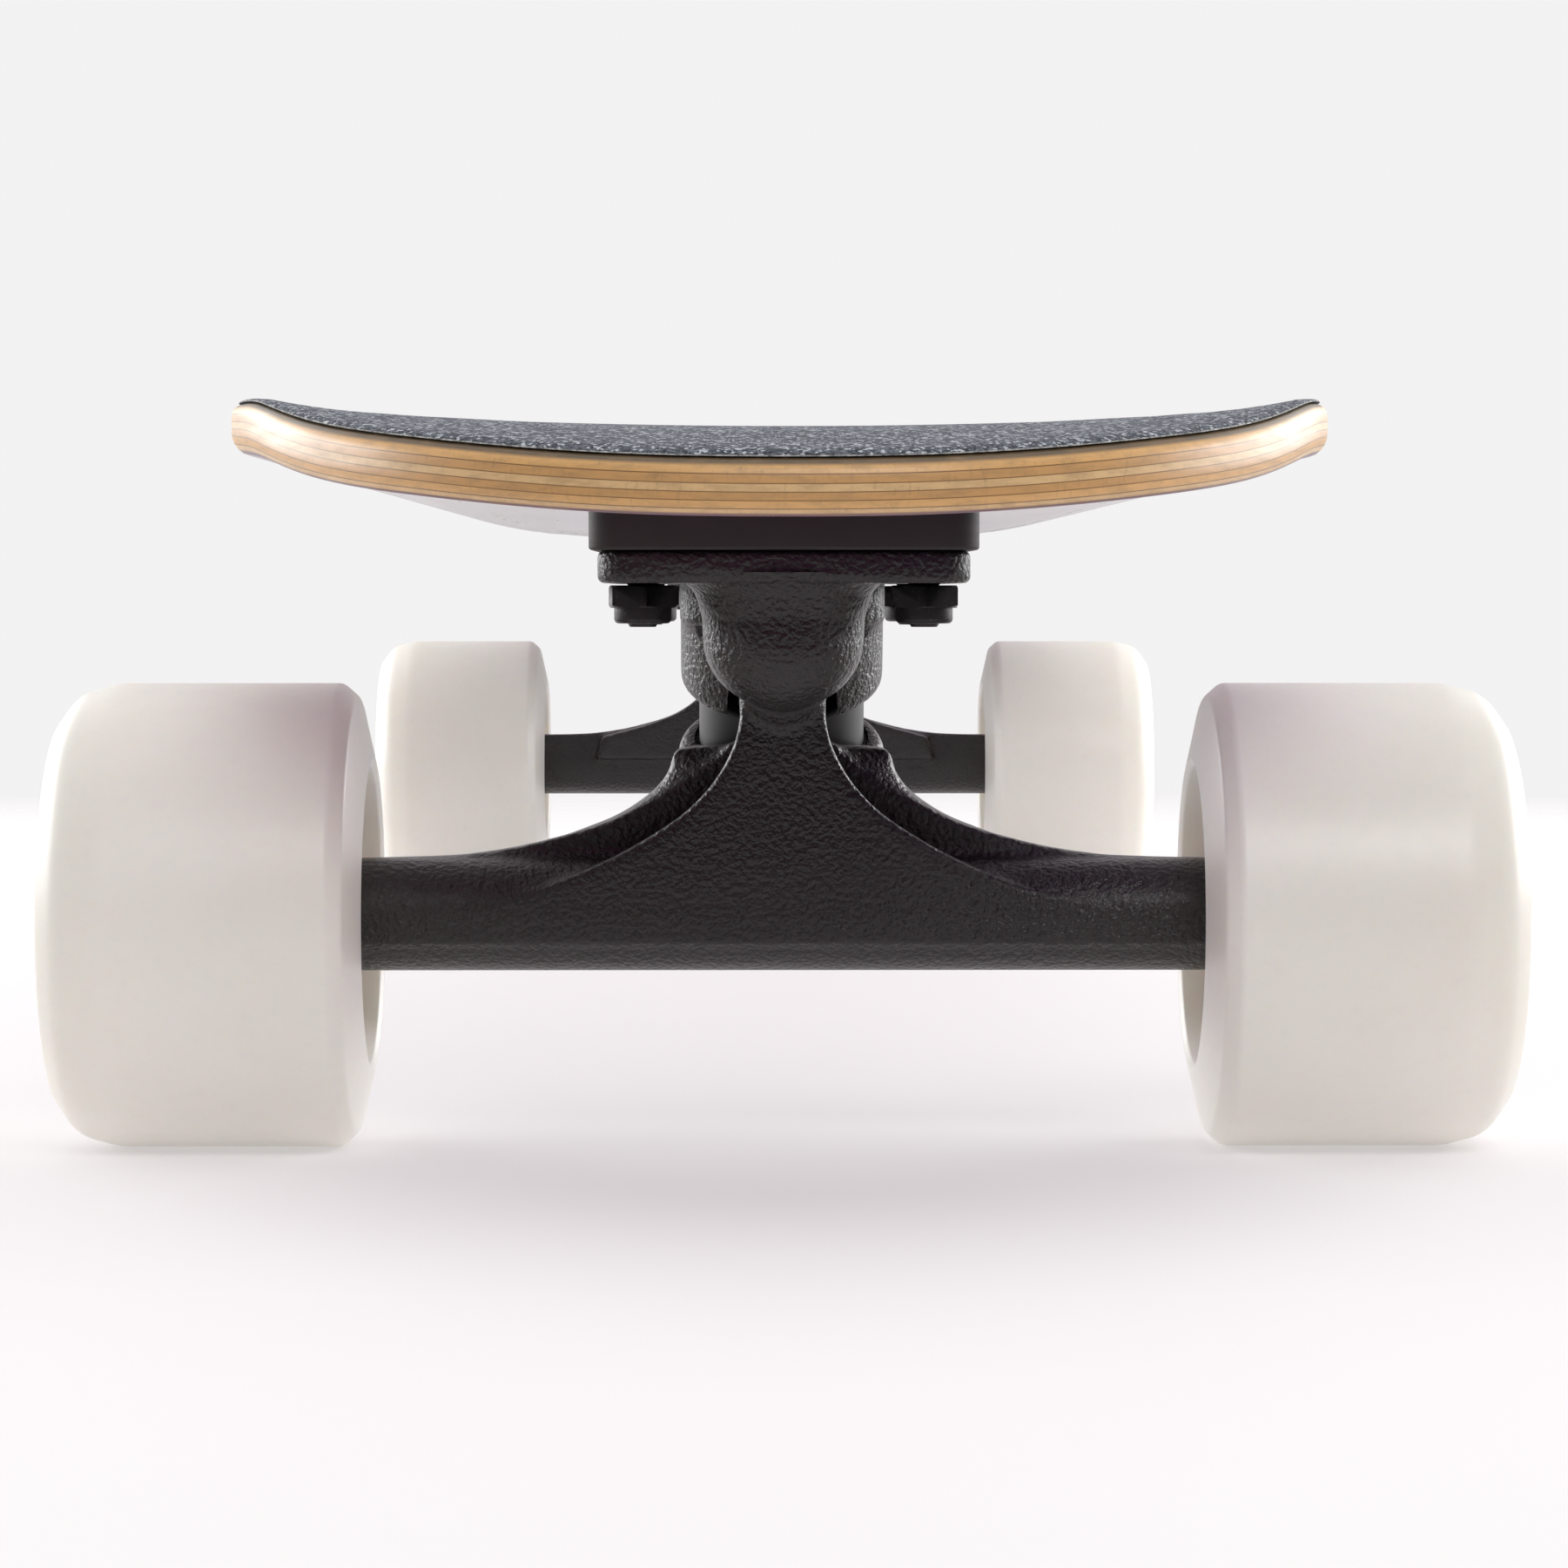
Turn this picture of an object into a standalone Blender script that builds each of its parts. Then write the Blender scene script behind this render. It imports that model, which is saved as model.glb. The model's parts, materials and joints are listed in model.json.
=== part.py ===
"""A cruiser skateboard: deck, grip tape, two traditional-kingpin trucks on riser pads, four wheels.

Metres. X is to the right, the nose is at -Y, Z is up, and the origin is on the ground under the
middle of the board. Each truck is modelled in its own space, whose origin is the middle of its axle
and whose +Y points outboard, to its own end of the board.
"""

import math

import bmesh
import bpy
from mathutils import Matrix, Vector

MM = 0.001
GAP = 0.3 * MM

# Deck
BOARD_LENGTH = 885 * MM
DECK_THICKNESS = 8 * MM
GRIP_THICKNESS = 0.5 * MM
DECK_TOP = 106.6 * MM
HALF_WIDTH = 105 * MM
TAPER = 38.2 * MM
TIP_LENGTH = 100 * MM
TIP_POWER = 2.5
DISH = 0.65 / (1000 * MM)
RAIL_LIFT = 4.8 * MM
RAIL_LIFT_START = 60 * MM
RAIL_LIFT_SPAN = 36.5 * MM
TIP_FLATNESS = 0.7
FLAT_TIP = 25 * MM
FLAT_TIP_BLEND = 55 * MM
NOSE_DIP = 5.5 * MM
NOSE_DIP_LENGTH = 70 * MM
TAIL_KICK = 20 * MM
TAIL_KICK_LENGTH = 110 * MM

# Trucks
AXLE_HEIGHT = 35 * MM
FRONT_AXLE_Y = -342.5 * MM
REAR_AXLE_Y = 292.5 * MM
RISER = (56.5 * MM, 84 * MM, 8.3 * MM)
PLATE = (54 * MM, 82 * MM, 4.7 * MM)
PLATE_CENTRE_Y = -7 * MM
PLATE_TOP = 54.7 * MM
BOLT_X = 20.65 * MM
BOLT_YS = (20 * MM, -34 * MM)
BOLT_RADIUS = 2.4 * MM
HOLE_RADIUS = 2.75 * MM
BOLT_SIDES = 10
HEAD_RADIUS = 4.7 * MM
HEAD_HEIGHT = 2.8 * MM
HEAD_EDGE = 0.4 * MM
SINK_ROOM = 0.45 * MM
BOLT_NUT = {"across": 9.5 * MM, "bore": HOLE_RADIUS, "height": 3.3 * MM, "collar_height": 2.3 * MM,
            "collar_radius": 4.2 * MM}
THROUGH = 20 * MM

# Steering: the hanger turns about the line from the ring's centre to the pivot
RING_CENTRE = Vector((0, -20 * MM, 22.5 * MM))
PIVOT = Vector((0, 19 * MM, 41 * MM))
STEER_AXIS = (PIVOT - RING_CENTRE).normalized()
PIVOT_REACH = (PIVOT - RING_CENTRE).length
KINGPIN_TILT = math.radians(25)
KINGPIN_AXIS = Vector((0, math.sin(KINGPIN_TILT), math.cos(KINGPIN_TILT)))
KINGPIN_RADIUS = 4.76 * MM
RING_HALF = 4 * MM
RING_RADIUS = 16.5 * MM
BUSHING_RADIUS = 12.7 * MM
BUSHING_HEIGHT = 9 * MM
CONE_HEIGHT = 10 * MM
HOUSING_RADIUS = 12 * MM
BOSS_RADIUS = 15.5 * MM
SOCKET_RADIUS = 8.35 * MM
SOCKET_DEPTH = 5.9 * MM
STUB_RADIUS = 5.6 * MM
STUB_REACH = 3.7 * MM
NECK_RADIUS = 6.8 * MM
RING_HOLE = 7 * MM
RING_ROOM = 0.7 * MM
KINGPIN_SEAT = 25.5 * MM
KINGPIN_HEAD = 6 * MM
KINGPIN_END = -27 * MM
HEAD_ROOM = 8.8 * MM
WASHER_HEIGHT = 1.5 * MM
KINGPIN_NUT = {"across": 14.3 * MM, "bore": KINGPIN_RADIUS + GAP, "height": 6 * MM,
               "collar_height": 2.5 * MM, "collar_radius": 6.6 * MM}

# Axle and wheels
AXLE_RADIUS = 4 * MM
AXLE_HALF = 108 * MM
ARM_RADIUS = 8.4 * MM
ARM_HALF = 72.4 * MM
WHEEL_RADIUS = 35 * MM
WHEEL_SIDES = 32
WHEEL_CENTRE_X = 85.45 * MM
BEARING_RADIUS = 11 * MM
BEARING_WIDTH = 7 * MM
BEARING_CENTRES = (76.9 * MM, 94 * MM)
AXLE_BORE = AXLE_RADIUS + 0.35 * MM
SPACER_RADIUS = 5.6 * MM
AXLE_NUT_START = 98.6 * MM
AXLE_NUT = {"across": 12.7 * MM, "bore": AXLE_BORE, "height": 4.6 * MM, "collar_height": 1.8 * MM,
            "collar_radius": 5.8 * MM}


def clear_scene():
    for obj in list(bpy.data.objects):
        bpy.data.objects.remove(obj, do_unlink=True)


def material(name, colour, roughness, metallic=0.0):
    mat = bpy.data.materials.new(name)
    mat.use_nodes = True
    shader = mat.node_tree.nodes["Principled BSDF"]
    shader.inputs["Base Color"].default_value = (*colour, 1)
    shader.inputs["Roughness"].default_value = roughness
    shader.inputs["Metallic"].default_value = metallic
    return mat


def add_empty(name, location, turn=0.0):
    empty = bpy.data.objects.new(name, None)
    empty.location = location
    empty.rotation_euler = (0, 0, turn)
    empty.empty_display_size = 0.03
    bpy.context.collection.objects.link(empty)
    return empty


def add_object(name, bm, mat=None, origin=(0, 0, 0), parent=None, smooth=40):
    """Turn a bmesh into an object; its vertices are given in the parent's space."""
    origin = Vector(origin)
    bmesh.ops.remove_doubles(bm, verts=bm.verts, dist=1e-6)
    bmesh.ops.recalc_face_normals(bm, faces=bm.faces)
    bmesh.ops.translate(bm, verts=bm.verts, vec=-origin)
    mesh = bpy.data.meshes.new(name)
    bm.to_mesh(mesh)
    bm.free()
    if smooth:
        mesh.shade_smooth()
        mesh.set_sharp_from_angle(angle=math.radians(smooth))
    if mat:
        mesh.materials.append(mat)
    obj = bpy.data.objects.new(name, mesh)
    obj.location = origin
    obj.parent = parent
    bpy.context.collection.objects.link(obj)
    return obj


def axis_matrix(origin, axis):
    """Local Z runs along the axis; local X stays level."""
    axis = Vector(axis).normalized()
    side = Vector((1, 0, 0)) if abs(axis.x) < 0.5 else Vector((0, 0, 1))
    ahead = axis.cross(side).normalized()
    side = ahead.cross(axis)
    turn = Matrix((side, ahead, axis)).transposed().to_4x4()
    return Matrix.Translation(origin) @ turn


def turned(profile, origin, axis, sides, flat_down=False):
    """Spin (along, radius) points about the axis. A profile that leaves the axis is a closed ring."""
    bm = bmesh.new()
    points = [bm.verts.new((radius, 0, along)) for along, radius in profile]
    pairs = list(zip(points, points[1:]))
    if profile[0][1] > 0:
        pairs.append((points[-1], points[0]))
    edges = [bm.edges.new(pair) for pair in pairs]
    bmesh.ops.spin(
        bm,
        geom=points + edges,
        cent=(0, 0, 0),
        axis=(0, 0, 1),
        angle=math.tau,
        steps=sides,
        use_merge=True,
    )
    if flat_down:
        bmesh.ops.rotate(bm, verts=bm.verts, cent=(0, 0, 0), matrix=Matrix.Rotation(math.pi / sides, 3, "Z"))
    bmesh.ops.remove_doubles(bm, verts=bm.verts, dist=1e-6)
    bmesh.ops.transform(bm, verts=bm.verts, matrix=axis_matrix(origin, axis))
    bmesh.ops.recalc_face_normals(bm, faces=bm.faces)
    return bm


def box(size, centre, corner=0.0, corner_steps=3):
    """A block whose upright corners can be rounded."""
    bm = bmesh.new()
    bmesh.ops.create_cube(bm, size=1)
    bmesh.ops.scale(bm, verts=bm.verts, vec=size)
    bmesh.ops.translate(bm, verts=bm.verts, vec=centre)
    if corner:
        upright = [e for e in bm.edges if abs((e.verts[0].co - e.verts[1].co).z) > size[2] / 2]
        bmesh.ops.bevel(bm, geom=upright, offset=corner, segments=corner_steps, profile=0.5, affect="EDGES")
    return bm


def slab(outline, y_low, y_high):
    """Extrude an outline of (x, z) points, given for one side and mirrored, from y_low to y_high."""
    bm = bmesh.new()
    mirrored = [(-x, z) for x, z in reversed(outline) if x > 0]
    ring = [bm.verts.new((x, y_low, z)) for x, z in outline + mirrored]
    face = bm.faces.new(ring)
    out = bmesh.ops.extrude_face_region(bm, geom=[face])
    moved = [g for g in out["geom"] if isinstance(g, bmesh.types.BMVert)]
    bmesh.ops.translate(bm, verts=moved, vec=(0, y_high - y_low, 0))
    return bm


def combine(obj, bm, operation):
    """Boolean a bmesh, given in the object's parent's space, with the object, and apply it."""
    tool = add_object("tool", bm, origin=obj.location, parent=obj.parent, smooth=0)
    bpy.context.view_layer.update()
    modifier = obj.modifiers.new("join", "BOOLEAN")
    modifier.operation = operation
    modifier.solver = "EXACT"
    modifier.object = tool
    with bpy.context.temp_override(object=obj, active_object=obj):
        bpy.ops.object.modifier_apply(modifier="join")
    bpy.data.objects.remove(tool, do_unlink=True)


def finish_casting(obj):
    """Weld the slivers a boolean leaves and make the shading follow the edges."""
    bm = bmesh.new()
    bm.from_mesh(obj.data)
    bmesh.ops.remove_doubles(bm, verts=bm.verts, dist=2e-5)
    bmesh.ops.dissolve_degenerate(bm, edges=bm.edges, dist=1e-6)
    bmesh.ops.recalc_face_normals(bm, faces=bm.faces)
    bm.to_mesh(obj.data)
    bm.free()
    obj.data.set_sharp_from_angle(angle=math.radians(35))


# ---------------------------------------------------------------- deck


def eased(t):
    t = max(0, min(1, t))
    return t * t * (3 - 2 * t)


def concave_rise(x, y):
    """Dished across the middle with lifted rails, and flatter close to each tip."""
    x = abs(x)
    rise = DISH * x * x + RAIL_LIFT * (max(0, x - RAIL_LIFT_START) / RAIL_LIFT_SPAN) ** 2
    from_tip = BOARD_LENGTH / 2 - abs(y)
    return rise * (1 - TIP_FLATNESS * (1 - eased((from_tip - FLAT_TIP) / FLAT_TIP_BLEND)))


def deck_height(x, y):
    half = BOARD_LENGTH / 2
    height = DECK_TOP + concave_rise(x, y)
    height -= NOSE_DIP * max(0, (NOSE_DIP_LENGTH - (half + y)) / NOSE_DIP_LENGTH) ** 2
    height += TAIL_KICK * max(0, (TAIL_KICK_LENGTH - (half - y)) / TAIL_KICK_LENGTH) ** 2
    return height


def deck_half_width(y):
    half = BOARD_LENGTH / 2
    body = HALF_WIDTH - TAPER * (y / half) ** 2
    from_tip = half - abs(y)
    if from_tip >= TIP_LENGTH:
        return body
    return body * max(0, 1 - (1 - from_tip / TIP_LENGTH) ** TIP_POWER) ** (1 / TIP_POWER)


def deck_stations(tip_steps=6, middle_steps=14):
    """Places along the board: even angles round each tip, even steps between."""
    half = BOARD_LENGTH / 2
    tip = [half - TIP_LENGTH * (1 - math.cos(i / tip_steps * math.pi / 2)) for i in range(tip_steps)]
    straight = half - TIP_LENGTH
    middle = [straight * (1 - 2 * i / middle_steps) for i in range(middle_steps + 1)]
    ys = tip + middle + [-y for y in reversed(tip)]
    return sorted(ys)


def deck_sheet(name, mat, lift, thickness, columns=12):
    """A dished sheet with the board's outline, thickened up or down."""
    bm = bmesh.new()
    rows = []
    for y in deck_stations():
        half = deck_half_width(y)
        spread = [0.0] if half < 1e-5 else [half * (2 * c / columns - 1) for c in range(columns + 1)]
        rows.append([bm.verts.new((x, y, deck_height(x, y) + lift)) for x in spread])
    for low, high in zip(rows, rows[1:]):
        for c in range(columns):
            corners = [low[min(c, len(low) - 1)], low[min(c + 1, len(low) - 1)]]
            corners += [high[min(c + 1, len(high) - 1)], high[min(c, len(high) - 1)]]
            bm.faces.new(list(dict.fromkeys(corners)))
    obj = add_object(name, bm, mat, smooth=30)
    if obj.data.polygons[0].normal.z < 0:
        obj.data.flip_normals()
    solid = obj.modifiers.new("thickness", "SOLIDIFY")
    solid.thickness = abs(thickness)
    solid.offset = 1 if thickness > 0 else -1
    solid.use_even_offset = True
    with bpy.context.temp_override(object=obj, active_object=obj):
        bpy.ops.object.modifier_apply(modifier="thickness")
    return obj


def bolt_places():
    """The eight mounting bolts: (truck name, number, point on the ground under the bolt)."""
    places = []
    for truck, axle_y, outboard in (("front", FRONT_AXLE_Y, -1), ("rear", REAR_AXLE_Y, 1)):
        corners = [(x, y) for y in BOLT_YS for x in (-BOLT_X, BOLT_X)]
        for number, (x, y) in enumerate(corners, start=1):
            places.append((truck, number, Vector((x, axle_y + outboard * y, 0))))
    return places


def build_deck():
    wood = material("maple", (0.62, 0.44, 0.25), 0.45)
    grit = material("grip_tape", (0.035, 0.04, 0.06), 0.9)
    deck = deck_sheet("deck", wood, 0, -DECK_THICKNESS)
    grip = deck_sheet("grip_tape", grit, GAP, GRIP_THICKNESS)
    top = DECK_TOP + GAP + GRIP_THICKNESS
    seat = top - HEAD_HEIGHT
    wide = HEAD_RADIUS + SINK_ROOM
    low, high = DECK_TOP - THROUGH, top + THROUGH
    sink = [(low, 0), (low, HOLE_RADIUS), (seat, HOLE_RADIUS), (top, wide), (high, wide), (high, 0)]
    for _, _, place in bolt_places():
        for obj in (deck, grip):
            combine(obj, turned(sink, place, (0, 0, 1), BOLT_SIDES), "DIFFERENCE")
    return deck, grip


# ---------------------------------------------------------------- trucks


def along_kingpin(distance):
    return RING_CENTRE + KINGPIN_AXIS * distance


def nut_body(name, mat, parent, origin, axis, across, bore, height, collar_height=0.0, collar_radius=0.0):
    """A hex nut with a round bore, grown along the axis, with its locking collar on the far side."""
    radius = across / 2 / math.cos(math.pi / 6)
    bm = turned([(0, 0), (0, radius), (height, radius), (height, 0)], origin, axis, 6)
    obj = add_object(name, bm, mat, origin, parent, smooth=0)
    if collar_height:
        top = height + collar_height
        collar = [(height - 1 * MM, 0), (height - 1 * MM, collar_radius), (top, collar_radius), (top, 0)]
        combine(obj, turned(collar, origin, axis, 12), "UNION")
    top = height + collar_height + 1 * MM
    hole = [(-1 * MM, 0), (-1 * MM, bore), (top, bore), (top, 0)]
    combine(obj, turned(hole, origin, axis, 12), "DIFFERENCE")
    return obj


def build_baseplate(name, mat, parent):
    plate_centre = (0, PLATE_CENTRE_Y, PLATE_TOP - PLATE[2] / 2)
    obj = add_object(name, box(PLATE, plate_centre, corner=4 * MM), mat, parent=parent, smooth=35)
    bullet = [(PLATE_TOP - 1 * MM - PIVOT.z, 0), (PLATE_TOP - 1 * MM - PIVOT.z, HOUSING_RADIUS)]
    steps = 5
    for i in range(steps + 1):
        angle = i / steps * math.pi / 2
        bullet.append((-HOUSING_RADIUS * math.sin(angle), HOUSING_RADIUS * math.cos(angle) if i < steps else 0))
    combine(obj, turned(bullet, PIVOT, (0, 0, 1), 20), "UNION")
    low = RING_HALF + BUSHING_HEIGHT + 2 * GAP
    boss = [(low, 0), (low, BOSS_RADIUS), (40 * MM, BOSS_RADIUS), (40 * MM, 0)]
    combine(obj, turned(boss, RING_CENTRE, KINGPIN_AXIS, 20), "UNION")
    combine(obj, box((60 * MM, 90 * MM, 30 * MM), (0, 0, PLATE_TOP + 15 * MM)), "DIFFERENCE")
    socket = [(-30 * MM, 0), (-30 * MM, SOCKET_RADIUS), (SOCKET_DEPTH, SOCKET_RADIUS), (SOCKET_DEPTH, 0)]
    combine(obj, turned(socket, PIVOT, STEER_AXIS, 16), "DIFFERENCE")
    bore = KINGPIN_RADIUS + GAP
    pocket = [(0, 0), (0, bore), (KINGPIN_SEAT, bore), (KINGPIN_SEAT, HEAD_ROOM), (45 * MM, HEAD_ROOM), (45 * MM, 0)]
    combine(obj, turned(pocket, RING_CENTRE, KINGPIN_AXIS, 16), "DIFFERENCE")
    for y in BOLT_YS:
        for x in (-BOLT_X, BOLT_X):
            hole = [(40 * MM, 0), (40 * MM, HOLE_RADIUS), (60 * MM, HOLE_RADIUS), (60 * MM, 0)]
            combine(obj, turned(hole, (x, y, 0), (0, 0, 1), 10), "DIFFERENCE")
    finish_casting(obj)
    return obj


def build_kingpin_stack(side, mats, parent):
    """Kingpin, its nut and washer, and both bushings, all along the kingpin's axis."""
    head_top = KINGPIN_SEAT + KINGPIN_HEAD
    hex_radius = KINGPIN_NUT["across"] / 2 / math.cos(math.pi / 6)
    shank = [(KINGPIN_END, 0), (KINGPIN_END, KINGPIN_RADIUS - 0.6 * MM), (KINGPIN_END + 0.6 * MM, KINGPIN_RADIUS)]
    shank += [(KINGPIN_SEAT + 1 * MM, KINGPIN_RADIUS), (KINGPIN_SEAT + 1 * MM, 0)]
    pin = turned(shank, RING_CENTRE, KINGPIN_AXIS, 12)
    kingpin = add_object(side + "_kingpin", pin, mats["steel"], RING_CENTRE, parent)
    start = KINGPIN_SEAT + GAP
    head = [(start, 0), (start, hex_radius), (head_top, hex_radius), (head_top, 0)]
    combine(kingpin, turned(head, RING_CENTRE, KINGPIN_AXIS, 6), "UNION")

    hole = KINGPIN_RADIUS + GAP
    low = RING_HALF + GAP
    high = low + BUSHING_HEIGHT
    edge = 0.8 * MM
    barrel = [(low, hole), (low, BUSHING_RADIUS - edge), (low + edge, BUSHING_RADIUS)]
    barrel += [(high - edge, BUSHING_RADIUS), (high, BUSHING_RADIUS - edge), (high, hole)]
    bm = turned(barrel, RING_CENTRE, KINGPIN_AXIS, 20)
    add_object(side + "_bushing_boardside", bm, mats["urethane"], RING_CENTRE, parent)

    top = -RING_HALF - GAP
    bottom = top - CONE_HEIGHT
    cone = [(bottom, hole), (bottom, 9.5 * MM), (top - 3 * MM, 12.2 * MM), (top, 12.2 * MM), (top, hole)]
    bm = turned(cone, RING_CENTRE, KINGPIN_AXIS, 20)
    add_object(side + "_bushing_roadside", bm, mats["urethane"], RING_CENTRE, parent)

    upper = bottom - GAP
    lower = upper - WASHER_HEIGHT
    washer = [(lower, hole), (lower, 10.3 * MM), (upper, 11 * MM), (upper, hole)]
    bm = turned(washer, RING_CENTRE, KINGPIN_AXIS, 20)
    add_object(side + "_kingpin_washer", bm, mats["steel"], RING_CENTRE, parent)

    seat = along_kingpin(lower - GAP)
    nut_body(
        side + "_kingpin_nut", mats["steel"], parent, seat, -KINGPIN_AXIS,
        **KINGPIN_NUT,
    )


def build_pivot_cup(name, mat, parent):
    outer = SOCKET_RADIUS - GAP
    inner = STUB_RADIUS + 0.4 * MM
    back = 5.6 * MM
    floor = 4.1 * MM
    mouth = -8 * MM
    cup = [(back, 0), (back, outer - 1 * MM), (back - 1 * MM, outer), (mouth, outer), (mouth, inner)]
    cup += [(floor, inner), (floor, 0)]
    bm = turned(cup, PIVOT, STEER_AXIS, 16)
    return add_object(name, bm, mat, PIVOT, parent)


def build_hanger(name, mat, parent):
    """Two axle arms, a front web rising to the pivot nose, and a saddle holding the kingpin ring."""
    arms = [(-ARM_HALF, 0), (-ARM_HALF, ARM_RADIUS), (ARM_HALF, ARM_RADIUS), (ARM_HALF, 0)]
    bm = turned(arms, (0, 0, 0), (1, 0, 0), 20)
    obj = add_object(name, bm, mat, RING_CENTRE, parent, smooth=35)

    web = [(0, -2), (70, -2), (66, 2), (55, 0.6), (46, 2), (37.3, 4.2), (30.8, 6.6), (24.3, 9.6)]
    web += [(18, 13.3), (13.5, 16.7), (9.8, 21), (7.3, 25.8), (6.3, 30), (0, 30)]
    combine(obj, slab([(x * MM, z * MM) for x, z in web], 3 * MM, 8.2 * MM), "UNION")

    saddle = [(0, -2), (66, -2), (62, 7.6), (50, 8.6), (40, 10.4), (34, 11.8), (28.8, 13.3)]
    saddle += [(24, 15.4), (19.5, 19), (17, 22.5), (16, 24), (0, 24)]
    combine(obj, slab([(x * MM, z * MM) for x, z in saddle], -9 * MM, -1 * MM), "UNION")

    ring = [(-RING_HALF, 0), (-RING_HALF, RING_RADIUS), (RING_HALF, RING_RADIUS), (RING_HALF, 0)]
    combine(obj, turned(ring, RING_CENTRE, KINGPIN_AXIS, 24), "UNION")

    neck = PIVOT_REACH - HOUSING_RADIUS - 1 * MM
    tip = PIVOT_REACH + STUB_REACH
    stub = [(12 * MM, 0), (12 * MM, NECK_RADIUS), (neck - 1.5 * MM, NECK_RADIUS), (neck, STUB_RADIUS)]
    stub += [(tip - 2 * MM, STUB_RADIUS), (tip, STUB_RADIUS - 2 * MM), (tip, 0)]
    combine(obj, turned(stub, RING_CENTRE, STEER_AXIS, 16), "UNION")

    room = BUSHING_RADIUS + RING_ROOM
    below = [(-40 * MM, 0), (-40 * MM, room), (-RING_HALF, room), (-RING_HALF, 0)]
    combine(obj, turned(below, RING_CENTRE, KINGPIN_AXIS, 20), "DIFFERENCE")
    above = [(RING_HALF, 0), (RING_HALF, room), (40 * MM, room), (40 * MM, 0)]
    combine(obj, turned(above, RING_CENTRE, KINGPIN_AXIS, 20), "DIFFERENCE")
    hole = [(-10 * MM, 0), (-10 * MM, RING_HOLE), (10 * MM, RING_HOLE), (10 * MM, 0)]
    combine(obj, turned(hole, RING_CENTRE, KINGPIN_AXIS, 16), "DIFFERENCE")
    bore = [(-90 * MM, 0), (-90 * MM, AXLE_RADIUS + GAP), (90 * MM, AXLE_RADIUS + GAP), (90 * MM, 0)]
    combine(obj, turned(bore, (0, 0, 0), (1, 0, 0), 16), "DIFFERENCE")
    finish_casting(obj)
    return obj


def build_truck(side, axle_y, turn, mats):
    parent = add_empty(side + "_truck", (0, axle_y, AXLE_HEIGHT), turn)
    riser_bottom = PLATE_TOP + GAP
    centre = (0, PLATE_CENTRE_Y, riser_bottom + RISER[2] / 2)
    riser = add_object(side + "_riser_pad", box(RISER, centre, corner=5 * MM), mats["pad"], parent=parent)
    for y in BOLT_YS:
        for x in (-BOLT_X, BOLT_X):
            hole = [(50 * MM, 0), (50 * MM, HOLE_RADIUS), (70 * MM, HOLE_RADIUS), (70 * MM, 0)]
            combine(riser, turned(hole, (x, y, 0), (0, 0, 1), 10), "DIFFERENCE")
    build_baseplate(side + "_baseplate", mats["casting"], parent)
    build_pivot_cup(side + "_pivot_cup", mats["plastic"], parent)
    build_kingpin_stack(side, mats, parent)
    build_hanger(side + "_hanger", mats["casting"], parent)
    end = 1 * MM
    rod = [(-AXLE_HALF, 0), (-AXLE_HALF, AXLE_RADIUS - end), (-AXLE_HALF + end, AXLE_RADIUS)]
    rod += [(-along, radius) for along, radius in reversed(rod)]
    add_object(side + "_axle", turned(rod, (0, 0, 0), (1, 0, 0), 16), mats["steel"], parent=parent)
    return parent


def build_bolts(mats):
    """Countersunk bolts through grip, deck, pad and plate, each with a lock nut underneath."""
    top = DECK_TOP + GAP + GRIP_THICKNESS
    plate_bottom = AXLE_HEIGHT + PLATE_TOP - PLATE[2]
    nut_top = plate_bottom - GAP
    for truck, number, place in bolt_places():
        low = nut_top - BOLT_NUT["height"] - BOLT_NUT["collar_height"] - 0.5 * MM
        profile = [(low, 0), (low, BOLT_RADIUS), (top - HEAD_HEIGHT, BOLT_RADIUS)]
        profile += [(top - HEAD_EDGE, HEAD_RADIUS), (top, HEAD_RADIUS), (top, 0)]
        add_object(f"{truck}_bolt_{number}", turned(profile, place, (0, 0, 1), BOLT_SIDES), mats["steel"], place)
        seat = place + Vector((0, 0, nut_top))
        nut_body(
            f"{truck}_bolt_nut_{number}", mats["steel"], None, seat, Vector((0, 0, -1)),
            **BOLT_NUT,
        )


# ---------------------------------------------------------------- wheels


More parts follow.
